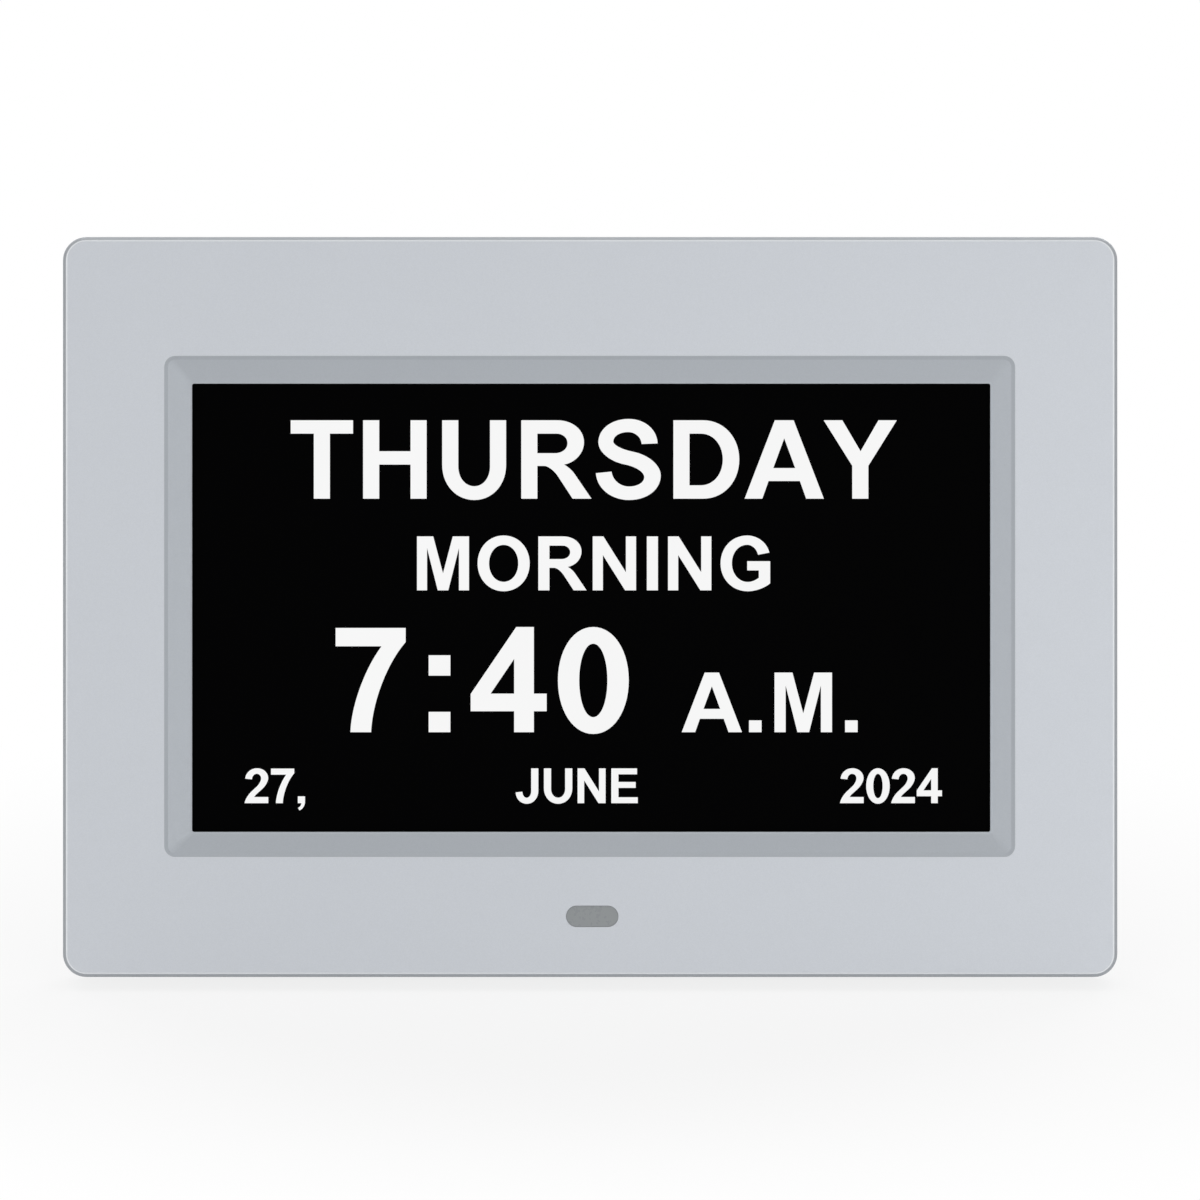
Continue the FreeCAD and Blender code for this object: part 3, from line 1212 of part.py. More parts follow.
def key_lead():
    """Lead from the key board, down behind the panel, to the main board's top socket."""
    end_x, end_z = board_place(KEY_SOCKET[3], KEY_SOCKET[4] + KEY_SOCKET[1] / 2)
    start_x, start_z = KEY_XS[-1] + KEY_LEAD_BESIDE, KEY_Z - KEY_LEAD_DROP
    behind_y = PANEL_BACK_Y + KEY_LEAD_OFF_PANEL
    return lead(
        KEY_LEAD_R,
        (start_x, SWITCH_Y, start_z),
        (start_x, behind_y, start_z),
        (start_x, behind_y, end_z + KEY_LEAD_TURN),
        (end_x, SOCKET_MID_Y, end_z + KEY_LEAD_RUN),
        (end_x, SOCKET_MID_Y, end_z),
    )


# ------------------------------------------------------------------ the clock
PIECES = {
    "front_bezel": front_bezel(),
    "rear_cover": rear_cover(),
    "case_screws": case_screws(),
    "rubber_feet": rubber_feet(),
    "stand_leg": stand_leg(),
    "leg_shoe": leg_shoe(),
    "hinge_pin": hinge_pin(),
    "hinge_washers": hinge_washers(),
    "screen_gasket": screen_gasket(),
    "panel_steel_frame": panel_steel_frame(),
    "panel_polarizer": panel_polarizer(),
    "panel_glass": panel_glass(),
    "panel_mould_frame": panel_mould_frame(),
    "panel_films": panel_films(),
    "panel_light_guide": panel_light_guide(),
    "panel_reflector": panel_reflector(),
    "panel_led_strip": panel_led_strip(),
    "panel_back_plate": panel_back_plate(),
    "panel_ribbon": panel_ribbon(),
    "panel_clamps": panel_clamps(),
    "panel_clamp_screws": panel_clamp_screws(),
    "ir_window": ir_window(),
    "ir_board": ir_board(),
    "ir_receiver": ir_receiver(),
    "ir_board_screws": ir_board_screws(),
    "ir_lead": ir_lead(),
    "key_board": key_board(),
    "key_switches": key_switches(),
    "key_board_screws": key_board_screws(),
    "key_lead": key_lead(),
    "main_board": main_board(),
    "board_screws": board_screws(),
    "board_chips": board_chips(),
    "board_connectors": board_connectors(),
    "board_capacitors": board_capacitors(),
    "coin_cell": coin_cell(),
    "coin_cell_holder": coin_cell_holder(),
    "dc_jack": dc_jack(),
    "dc_jack_pin": dc_jack_pin(),
    "usb_socket": usb_socket(),
    "usb_tongue": usb_tongue(),
    "card_socket": card_socket(),
    "speaker_frames": both_sides(speaker_frame),
    "speaker_cones": both_sides(speaker_cone),
    "speaker_foam_rings": both_sides(foam_ring),
    "speaker_leads": speaker_leads(),
}
for number, key_x in enumerate(KEY_XS, start=1):
    PIECES[f"key_cap_{number}"] = key_cap(key_x)
    PIECES[f"key_stem_{number}"] = key_stem(key_x)


def on_the_table(pieces):
    """Leans the upright clock back and centres it over the table, which lies at z = 0."""
    pieces = {name: made if isinstance(made, list) else [made] for name, made in pieces.items()}
    whole = Part.makeCompound([solid for solids in pieces.values() for solid in solids])
    edge = V(0, TABLE_EDGE_Y, -TABLE_CLEARANCE)
    whole.rotate(edge, V(1, 0, 0), -LEAN_DEG)
    bounds = whole.optimalBoundingBox(False)
    shift = V(0, -(bounds.YMin + bounds.YMax) / 2, TABLE_CLEARANCE)
    placed = {}
    for name, solids in pieces.items():
        for solid in solids:
            solid.rotate(edge, V(1, 0, 0), -LEAN_DEG)
            solid.translate(shift)
        placed[name] = solids[0] if len(solids) == 1 else Part.makeCompound(solids)
    return placed, edge, shift


PLACED, LEAN_EDGE, LEAN_SHIFT = on_the_table(PIECES)
os.makedirs("parts", exist_ok=True)
for name, shape in PLACED.items():
    shape.exportStep(f"parts/{name}.step")
print(len(PLACED), "nodes")
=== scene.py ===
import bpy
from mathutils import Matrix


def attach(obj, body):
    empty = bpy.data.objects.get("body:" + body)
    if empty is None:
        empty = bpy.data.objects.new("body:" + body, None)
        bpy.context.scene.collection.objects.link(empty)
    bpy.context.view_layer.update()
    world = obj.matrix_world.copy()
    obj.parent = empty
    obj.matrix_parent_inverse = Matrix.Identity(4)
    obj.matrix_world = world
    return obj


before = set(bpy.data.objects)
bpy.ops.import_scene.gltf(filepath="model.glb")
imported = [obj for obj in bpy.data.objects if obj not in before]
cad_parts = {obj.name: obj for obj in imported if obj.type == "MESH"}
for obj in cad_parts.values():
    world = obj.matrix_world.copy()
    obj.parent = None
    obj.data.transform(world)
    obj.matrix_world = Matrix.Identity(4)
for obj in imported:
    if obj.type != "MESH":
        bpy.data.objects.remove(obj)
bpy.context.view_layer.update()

import math

import bmesh
import bpy
from mathutils import Matrix, Vector

# The clock is dressed in its own upright frame, in millimetres: X to the right, Y from the fascia
# to the back, Z up from the lower edge of the case. ON_THE_TABLE takes that frame to the row's.
MM = 0.001
LEAN = math.radians(12)
# Middle and size of the sunken band round the screen, and the depth of the screen's film.
BAND_X, BAND_Z = -0.1, 71.55
BAND_W, BAND_H = 164.4, 96.9
SCREEN_Y = 2.8
# Tops of the key caps on the back, and the height and spacing of their row.
KEY_TOP_Y = 14.2
KEY_Z = 131.0
KEY_PITCH = 16.0


def leaning_frame():
    """Matrix from the upright clock, in millimetres, to the row frame, found from the bezel itself."""
    upright = Matrix.Rotation(LEAN, 4, "X")
    corners = [upright @ vertex.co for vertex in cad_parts["front_bezel"].data.vertices]
    front = min(corner.y for corner in corners)
    foot = min(corner.z for corner in corners)
    return Matrix.Rotation(-LEAN, 4, "X") @ Matrix.Translation((0, front, foot)) @ Matrix.Scale(MM, 4)


ON_THE_TABLE = leaning_frame()


def colour(red, green, blue):
    """Linear colour of a swatch given in 0 to 255."""
    linear = []
    for value in (red, green, blue):
        share = value / 255
        linear.append(share / 12.92 if share <= 0.04045 else ((share + 0.055) / 1.055) ** 2.4)
    return (*linear, 1.0)


# ------------------------------------------------------------------ shader building
def put(tree, kind, inputs=None, **settings):
    """Adds a node; inputs holds plain values, or the sockets to wire in."""
    made = tree.nodes.new(kind)
    for name, value in settings.items():
        setattr(made, name, value)
    for name, value in (inputs or {}).items():
        if isinstance(value, bpy.types.NodeSocket):
            tree.links.new(value, made.inputs[name])
        else:
            made.inputs[name].default_value = value
    return made


def reckon(tree, operation, first, second=0.0, clamp=False):
    """One step of arithmetic on two values or sockets."""
    made = put(tree, "ShaderNodeMath", {0: first, 1: second}, operation=operation, use_clamp=clamp)
    return made.outputs[0]


def remap(tree, value, low, high, to_low=0.0, to_high=1.0, smooth=True):
    """Value between low and high turned into one between to_low and to_high."""
    inputs = {"Value": value, "From Min": low, "From Max": high, "To Min": to_low, "To Max": to_high}
    kind = "SMOOTHSTEP" if smooth else "LINEAR"
    return put(tree, "ShaderNodeMapRange", inputs, interpolation_type=kind).outputs["Result"]


def group(name, inputs, outputs):
    """Empty shader group with named sockets: name, socket kind and, for an input, its usual value."""
    tree = bpy.data.node_groups.new(name, "ShaderNodeTree")
    for socket_name, kind, usual in inputs:
        socket = tree.interface.new_socket(name=socket_name, in_out="INPUT", socket_type=kind)
        socket.default_value = usual
    for socket_name, kind in outputs:
        tree.interface.new_socket(name=socket_name, in_out="OUTPUT", socket_type=kind)
    return tree, tree.nodes.new("NodeGroupInput"), tree.nodes.new("NodeGroupOutput")


FLOAT = "NodeSocketFloat"
COLOUR = "NodeSocketColor"


def per_metre(tree, size):
    """Texture scale whose features are about size metres across."""
    return reckon(tree, "DIVIDE", 1.0, size)


def moulded_grain():
    """Fine pitted texture that a spark-eroded mould leaves: a height for bump and a speckle value."""
    tree, given, result = group(
        "moulded_grain",
        [("Grain Size", FLOAT, 0.0004), ("Softness", FLOAT, 0.5)],
        [("Height", FLOAT), ("Speckle", FLOAT)],
    )
    place = put(tree, "ShaderNodeTexCoord").outputs["Object"]
    scale = per_metre(tree, given.outputs["Grain Size"])
    bumps = put(tree, "ShaderNodeTexNoise", {
        "Vector": place, "Scale": scale, "Detail": 2.0, "Roughness": 0.55
    })
    pits = put(tree, "ShaderNodeTexVoronoi", {"Vector": place, "Scale": scale}, feature="SMOOTH_F1")
    tree.links.new(given.outputs["Softness"], pits.inputs["Smoothness"])
    height = reckon(tree, "ADD", bumps.outputs["Fac"], pits.outputs["Distance"])
    tree.links.new(reckon(tree, "MULTIPLY", height, 0.5), result.inputs["Height"])
    tree.links.new(bumps.outputs["Fac"], result.inputs["Speckle"])
    return tree


def colour_drift():
    """Base colour that wanders a little over the surface, as moulded and lacquered parts do."""
    tree, given, result = group(
        "colour_drift",
        [("Colour", COLOUR, (0.5, 0.5, 0.5, 1)), ("Drift", FLOAT, 0.03), ("Patch Size", FLOAT, 0.03)],
        [("Colour", COLOUR), ("Patch", FLOAT)],
    )
    place = put(tree, "ShaderNodeTexCoord").outputs["Object"]
    scale = per_metre(tree, given.outputs["Patch Size"])
    patch = put(tree, "ShaderNodeTexNoise", {"Vector": place, "Scale": scale, "Detail": 3.0}).outputs["Fac"]
    swing = reckon(tree, "MULTIPLY", reckon(tree, "SUBTRACT", patch, 0.5), given.outputs["Drift"])
    value = reckon(tree, "ADD", reckon(tree, "MULTIPLY", swing, 2.0), 1.0)
    tinted = put(tree, "ShaderNodeHueSaturation", {"Color": given.outputs["Colour"], "Value": value})
    tree.links.new(tinted.outputs["Color"], result.inputs["Colour"])
    tree.links.new(patch, result.inputs["Patch"])
    return tree


def edge_wear():
    """Mask of the edges that hands and tables rub, broken up by patches."""
    tree, given, result = group(
        "edge_wear",
        [("Edge Size", FLOAT, 0.0005), ("Rub", FLOAT, 0.5), ("Patch Size", FLOAT, 0.006)],
        [("Mask", FLOAT)],
    )
    bevel = put(tree, "ShaderNodeBevel", {"Radius": given.outputs["Edge Size"]}, samples=4)
    rounded = bevel.outputs["Normal"]
    plain = put(tree, "ShaderNodeNewGeometry").outputs["Normal"]
    alike = put(tree, "ShaderNodeVectorMath", {0: rounded, 1: plain}, operation="DOT_PRODUCT")
    edge = remap(tree, reckon(tree, "SUBTRACT", 1.0, alike.outputs["Value"]), 0.01, 0.16)
    place = put(tree, "ShaderNodeTexCoord").outputs["Object"]
    scale = per_metre(tree, given.outputs["Patch Size"])
    patch = put(tree, "ShaderNodeTexNoise", {"Vector": place, "Scale": scale, "Detail": 4.0}).outputs["Fac"]
    worn = reckon(tree, "MULTIPLY", edge, remap(tree, patch, 0.35, 0.7))
    mask = reckon(tree, "MULTIPLY", worn, given.outputs["Rub"], clamp=True)
    tree.links.new(mask, result.inputs["Mask"])
    return tree


def settled_dust():
    """Mask of the fine dust that lies on what faces up."""
    tree, given, result = group(
        "settled_dust",
        [("Amount", FLOAT, 0.1), ("Patch Size", FLOAT, 0.004)],
        [("Mask", FLOAT)],
    )
    facing = put(tree, "ShaderNodeSeparateXYZ", {0: put(tree, "ShaderNodeNewGeometry").outputs["Normal"]})
    upward = remap(tree, facing.outputs["Z"], 0.35, 1.0)
    place = put(tree, "ShaderNodeTexCoord").outputs["Object"]
    scale = per_metre(tree, given.outputs["Patch Size"])
    specks = put(tree, "ShaderNodeTexNoise", {
        "Vector": place, "Scale": scale, "Detail": 5.0, "Roughness": 0.7
    })
    lying = reckon(tree, "MULTIPLY", upward, remap(tree, specks.outputs["Fac"], 0.4, 0.75))
    mask = reckon(tree, "MULTIPLY", lying, given.outputs["Amount"], clamp=True)
    tree.links.new(mask, result.inputs["Mask"])
    return tree


def lacquer_flake():
    """Metal flake in a silver lacquer: a tone for each flake."""
    tree, given, result = group(
        "lacquer_flake",
        [("Flake Size", FLOAT, 0.00012), ("Glint", FLOAT, 0.05)],
        [("Tone", FLOAT)],
    )
    place = put(tree, "ShaderNodeTexCoord").outputs["Object"]
    scale = per_metre(tree, given.outputs["Flake Size"])
    flakes = put(tree, "ShaderNodeTexVoronoi", {"Vector": place, "Scale": scale})
    grey = put(tree, "ShaderNodeSeparateColor", {0: flakes.outputs["Color"]}).outputs["Red"]
    swing = reckon(tree, "MULTIPLY", reckon(tree, "SUBTRACT", grey, 0.5), given.outputs["Glint"])
    tree.links.new(reckon(tree, "ADD", swing, 1.0), result.inputs["Tone"])
    return tree


def drawn_streaks():
    """Long fine streaks along X, from rolling and drawing metal."""
    tree, given, result = group(
        "drawn_streaks",
        [("Streak Width", FLOAT, 0.0001), ("Streak Length", FLOAT, 0.01)],
        [("Height", FLOAT), ("Tone", FLOAT)],
    )
    place = put(tree, "ShaderNodeTexCoord").outputs["Object"]
    across = per_metre(tree, given.outputs["Streak Width"])
    along = per_metre(tree, given.outputs["Streak Length"])
    stretch = put(tree, "ShaderNodeCombineXYZ", {"X": along, "Y": across, "Z": across}).outputs["Vector"]
    drawn = put(tree, "ShaderNodeVectorMath", {0: place, 1: stretch}, operation="MULTIPLY").outputs["Vector"]
    streak = put(tree, "ShaderNodeTexNoise", {"Vector": drawn, "Scale": 1.0, "Detail": 2.0}).outputs["Fac"]
    tree.links.new(streak, result.inputs["Height"])
    tree.links.new(remap(tree, streak, 0.2, 0.8, 0.85, 1.1, smooth=False), result.inputs["Tone"])
    return tree


GROUPS = {made.name: made for made in (
    moulded_grain(), colour_drift(), edge_wear(), settled_dust(), lacquer_flake(), drawn_streaks()
)}


def use(tree, name, **inputs):
    """Places one of the shared groups, with its own values."""
    made = tree.nodes.new("ShaderNodeGroup")
    made.node_tree = GROUPS[name]
    for key, value in inputs.items():
        socket = made.inputs[key.replace("_", " ").title()]
        if isinstance(value, bpy.types.NodeSocket):
            tree.links.new(value, socket)
        else:
            socket.default_value = value
    return made.outputs


def new_finish(name, **constants):
    """Empty material with a Principled shader whose plain numbers are set on its own sockets."""
    material = bpy.data.materials.new(name)
    material.use_nodes = True
    tree = material.node_tree
    tree.nodes.clear()
    shader = put(tree, "ShaderNodeBsdfPrincipled")
    for socket_name, value in constants.items():
        shader.inputs[socket_name.replace("_", " ")].default_value = value
    put(tree, "ShaderNodeOutputMaterial", {"Surface": shader.outputs["BSDF"]})
    return material, tree, shader


def blend_colours(tree, share, first, second):
    """Colour between first and second by a share."""
    made = put(tree, "ShaderNodeMix", data_type="RGBA")
    for index, value in ((0, share), (6, first), (7, second)):
        if isinstance(value, bpy.types.NodeSocket):
            tree.links.new(value, made.inputs[index])
        else:
            made.inputs[index].default_value = value
    return made.outputs[2]


def raise_bump(tree, shader, height, relief, strength):
    """Bump of the given relief in metres on the shader's normal."""
    bump = put(tree, "ShaderNodeBump", {"Height": height, "Distance": relief, "Strength": strength})
    tree.links.new(bump.outputs["Normal"], shader.inputs["Normal"])


# ------------------------------------------------------------------ finishes of the clock
SILVER = colour(197, 201, 207)
# Painted highlight along the fascia's rounded rim, where it starts to turn away.
PAINTED_RIM_HIGHLIGHT = colour(228, 231, 234)
# Painted shade on the side walls and the outer part of the rounded rim, darker than the fascia.
PAINTED_SIDE_SHADE = colour(170, 174, 179)
BAND_SILVER = colour(170, 175, 181)
BARE_PLASTIC = colour(160, 163, 167)
DUST = colour(188, 186, 180)
# Depths behind the fascia over which its rounded rim takes its painted highlight, its side walls their
# painted shade and the band its silver, and how far the band's silver may reach past its outline.
RIM_HIGHLIGHT_DEPTHS = (0.002, 0.02)
SIDE_SHADE_DEPTHS = (0.05, 0.1)
BAND_DEPTHS = (0.01, 0.06)
BAND_MARGIN = 0.3


def behind_fascia(tree, depth, depths):
    """Nought up to the first of two depths behind the fascia, one past the second."""
    near, far = depths
    return remap(tree, depth, near * MM, far * MM)


def sunken_band_mask(tree):
    """One inside the sunken band round the screen and nought elsewhere, and the depth behind the fascia."""
    place = put(tree, "ShaderNodeTexCoord").outputs["Object"]
    turned = put(tree, "ShaderNodeVectorRotate", {"Vector": place, "Angle": LEAN}, rotation_type="X_AXIS")
    origin = ON_THE_TABLE.inverted() @ Vector((0, 0, 0))
    at = put(tree, "ShaderNodeSeparateXYZ", {0: turned.outputs["Vector"]})
    depth = reckon(tree, "ADD", at.outputs["Y"], origin.y * MM)
    from_middle_x = reckon(tree, "ABSOLUTE", reckon(tree, "SUBTRACT", at.outputs["X"], BAND_X * MM))
    from_middle_z = reckon(tree, "ABSOLUTE", reckon(tree, "ADD", at.outputs["Z"], (origin.z - BAND_Z) * MM))
    mask = behind_fascia(tree, depth, BAND_DEPTHS)
    for distance, size in ((from_middle_x, BAND_W), (from_middle_z, BAND_H)):
        reach = (size / 2 + BAND_MARGIN) * MM
        mask = reckon(tree, "MULTIPLY", mask, reckon(tree, "LESS_THAN", distance, reach))
    return mask, depth


def silver_lacquer_and_painted_light():
    """Satin silver lacquer on the front moulding: painted highlight on its rim, painted shade on its sides,
    greyer in the band.
    """
    material, tree, shader = new_finish("silver_lacquer_and_painted_light", Metallic=0.15, Specular_IOR_Level=0.35)
    band, depth = sunken_band_mask(tree)
    # Painted highlight on the rim just behind the fascia.
    silver_with_painted_light = blend_colours(tree, behind_fascia(tree, depth, RIM_HIGHLIGHT_DEPTHS), SILVER, PAINTED_RIM_HIGHLIGHT)
    # Painted shade over the outer rim and the side walls.
    silver_with_painted_light = blend_colours(tree, behind_fascia(tree, depth, SIDE_SHADE_DEPTHS), silver_with_painted_light, PAINTED_SIDE_SHADE)
    silver_with_painted_light = blend_colours(tree, band, silver_with_painted_light, BAND_SILVER)
    drift = use(tree, "colour_drift", colour=silver_with_painted_light, drift=0.012, patch_size=0.05)
    flake = use(tree, "lacquer_flake", flake_size=0.00014, glint=0.05)
    glinting = put(tree, "ShaderNodeHueSaturation", {"Color": drift["Colour"], "Value": flake["Tone"]})
    wear = use(tree, "edge_wear", edge_size=0.0004, rub=0.25, patch_size=0.007)
    rubbed = blend_colours(tree, wear["Mask"], glinting.outputs["Color"], BARE_PLASTIC)
    dust = use(tree, "settled_dust", amount=0.12, patch_size=0.003)
    tree.links.new(blend_colours(tree, dust["Mask"], rubbed, DUST), shader.inputs["Base Color"])
    grain = use(tree, "moulded_grain", grain_size=0.0006, softness=0.8)
    tree.links.new(remap(tree, grain["Speckle"], 0.2, 0.8, 0.38, 0.48), shader.inputs["Roughness"])
    raise_bump(tree, shader, grain["Height"], 0.000012, 0.35)
    return material


def moulded(name, swatch, rough, grain, relief, drift=0.03, rub=0.0, worn=None, dust=0.0, **constants):
    """Moulded plastic or rubber with its grain, a little drift in colour, rubbed edges and dust."""
    material, tree, shader = new_finish(name, **constants)
    drifted = use(tree, "colour_drift", colour=swatch, drift=drift, patch_size=0.02)
    surface = drifted["Colour"]
    if rub:
        wear = use(tree, "edge_wear", edge_size=0.0005, rub=rub, patch_size=0.005)
        surface = blend_colours(tree, wear["Mask"], surface, worn or swatch)
    if dust:
        lying = use(tree, "settled_dust", amount=dust, patch_size=0.003)
        surface = blend_colours(tree, lying["Mask"], surface, DUST)
    tree.links.new(surface, shader.inputs["Base Color"])
    texture = use(tree, "moulded_grain", grain_size=grain, softness=0.5)
    rough_map = remap(tree, texture["Speckle"], 0.25, 0.75, rough - 0.05, rough + 0.05)
    tree.links.new(rough_map, shader.inputs["Roughness"])
    raise_bump(tree, shader, texture["Height"], relief, 0.6)
    return material


def metal(name, swatch, rough, width, length, rub=0.0, worn=None):
    """Rolled, drawn or plated metal with fine streaks."""
    material, tree, shader = new_finish(name, Metallic=1.0)
    drifted = use(tree, "colour_drift", colour=swatch, drift=0.05, patch_size=0.006)
    streak = use(tree, "drawn_streaks", streak_width=width, streak_length=length)
    toned = put(tree, "ShaderNodeHueSaturation", {"Color": drifted["Colour"], "Value": streak["Tone"]})
    surface = toned.outputs["Color"]
    if rub:
        wear = use(tree, "edge_wear", edge_size=0.0003, rub=rub, patch_size=0.002)
        surface = blend_colours(tree, wear["Mask"], surface, worn or swatch)
    tree.links.new(surface, shader.inputs["Base Color"])
    rough_map = remap(tree, streak["Height"], 0.2, 0.8, rough - 0.06, rough + 0.08)
    tree.links.new(rough_map, shader.inputs["Roughness"])
    raise_bump(tree, shader, streak["Height"], 0.000006, 0.5)
    return material


def anti_glare_film():
    """Etched polarizer over the dark panel: nearly black, with a faint sparkle."""
    material, tree, shader = new_finish("anti_glare_film", Specular_IOR_Level=0.008, IOR=1.45)
    etched = use(tree, "moulded_grain", grain_size=0.00008, softness=0.4)
    dark = use(tree, "colour_drift", colour=(0.0005, 0.0005, 0.0006, 1), drift=0.1, patch_size=0.04)
    tree.links.new(dark["Colour"], shader.inputs["Base Color"])
    tree.links.new(remap(tree, etched["Speckle"], 0.2, 0.8, 0.36, 0.5), shader.inputs["Roughness"])
    raise_bump(tree, shader, etched["Height"], 0.000003, 0.4)
    return material


def clear_part(name, swatch, rough):
    """Clear acrylic or glass inside the panel."""
    material, tree, shader = new_finish(name, Transmission_Weight=1.0, IOR=1.49, Metallic=0.0)
    tinted = use(tree, "colour_drift", colour=swatch, drift=0.01, patch_size=0.03)
    tree.links.new(tinted["Colour"], shader.inputs["Base Color"])
    haze = use(tree, "moulded_grain", grain_size=0.002, softness=1.0)
    tree.links.new(remap(tree, haze["Speckle"], 0.3, 0.7, rough, rough + 0.04), shader.inputs["Roughness"])
    return material


def lit_pixels():
    """White picture elements, a little uneven over the panel."""
    material, tree, shader = new_finish(
        "lit_pixels", Roughness=0.6, Specular_IOR_Level=0.0, Emission_Strength=1.0
    )
    place = put(tree, "ShaderNodeTexCoord").outputs["Object"]
    patch = put(tree, "ShaderNodeTexNoise", {"Vector": place, "Scale": 40.0, "Detail": 1.0}).outputs["Fac"]
    glow = put(tree, "ShaderNodeHueSaturation", {
        "Color": colour(247, 247, 247), "Value": remap(tree, patch, 0.3, 0.7, 0.985, 1.0)
    })
    tree.links.new(glow.outputs["Color"], shader.inputs["Emission Color"])
    black = use(tree, "colour_drift", colour=(0.001, 0.001, 0.001, 1), drift=0.1, patch_size=0.02)
    tree.links.new(black["Colour"], shader.inputs["Base Color"])
    return material


def board_mask():
    """Green solder mask over the weave of a circuit board."""
    material, tree, shader = new_finish("board_mask", Coat_Weight=0.3, Coat_Roughness=0.2)
    place = put(tree, "ShaderNodeTexCoord").outputs["Object"]
    weave = put(tree, "ShaderNodeTexWave", {
        "Vector": place, "Scale": 380.0, "Distortion": 0.6, "Detail": 1.0
    })
    drifted = use(tree, "colour_drift", colour=colour(14, 92, 52), drift=0.12, patch_size=0.004)
    toned = put(tree, "ShaderNodeHueSaturation", {
        "Color": drifted["Colour"], "Value": remap(tree, weave.outputs["Fac"], 0, 1, 0.85, 1.1)
    })
    tree.links.new(toned.outputs["Color"], shader.inputs["Base Color"])
    tree.links.new(remap(tree, drifted["Patch"], 0.3, 0.7, 0.3, 0.42), shader.inputs["Roughness"])
    raise_bump(tree, shader, weave.outputs["Fac"], 0.00001, 0.4)
    return material


FINISHES = {
    "silver_plastic": silver_lacquer_and_painted_light(),
    "cover_plastic": moulded(
        "cover_grain", colour(176, 180, 185), 0.52, 0.0005, 0.00004,
        drift=0.02, rub=0.35, worn=colour(194, 197, 201), dust=0.2,
    ),
    "key_plastic": moulded(
        "key_polish", colour(62, 64, 68), 0.38, 0.0006, 0.00001, rub=0.5, worn=colour(96, 98, 102), dust=0.12,
    ),
    "white_plastic": moulded("white_moulding", colour(228, 228, 225), 0.45, 0.0008, 0.00002),
    "black_plastic": moulded("black_moulding", colour(26, 26, 28), 0.45, 0.0005, 0.00002, dust=0.1),
    "smoke_plastic": moulded(
        "smoke_window", colour(143, 147, 149), 0.3, 0.0009, 0.000006, drift=0.015, Specular_IOR_Level=0.4,
    ),
    "clear_acrylic": clear_part("clear_guide", colour(246, 247, 248), 0.03),
    "panel_glass": clear_part("dark_glass", colour(40, 42, 44), 0.02),
    "nylon": moulded("natural_nylon", colour(226, 222, 208), 0.5, 0.0007, 0.00002),
    "ribbon_film": moulded("amber_film", colour(190, 130, 52), 0.28, 0.001, 0.00001, drift=0.06),
    "circuit_board": board_mask(),
    "lead_jacket": moulded("lead_jacket", colour(30, 30, 33), 0.42, 0.0006, 0.00001),
    "black_rubber": moulded(
        "foot_rubber", colour(34, 34, 35), 0.75, 0.0004, 0.00006, rub=0.5, worn=colour(66, 66, 66), dust=0.35,
    ),
    "black_foam": moulded("cell_foam", colour(24, 24, 25), 0.9, 0.0007, 0.00025, drift=0.2),
    "screen_black": anti_glare_film(),
    "plain_steel": metal(
        "zinc_steel", colour(176, 178, 180), 0.34, 0.0002, 0.012, rub=0.2, worn=colour(206, 207, 208),
    ),
    "screw_steel": metal(
        "dark_plating", colour(92, 92, 95), 0.36, 0.00015, 0.002, rub=0.5, worn=colour(150, 150, 152),
    ),
    "cell_steel": metal("nickel_cell", colour(196, 195, 190), 0.25, 0.0002, 0.02),
    "can_aluminium": metal("drawn_can", colour(190, 192, 195), 0.3, 0.0002, 0.006),
    "contact_brass": metal("plated_contact", colour(206, 168, 92), 0.24, 0.00015, 0.004),
    "cone_paper": moulded("pressed_paper", colour(30, 30, 31), 0.85, 0.0006, 0.00012, drift=0.15),
}
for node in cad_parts.values():
    for held in node.material_slots:
        held.material = FINISHES[held.material.name]


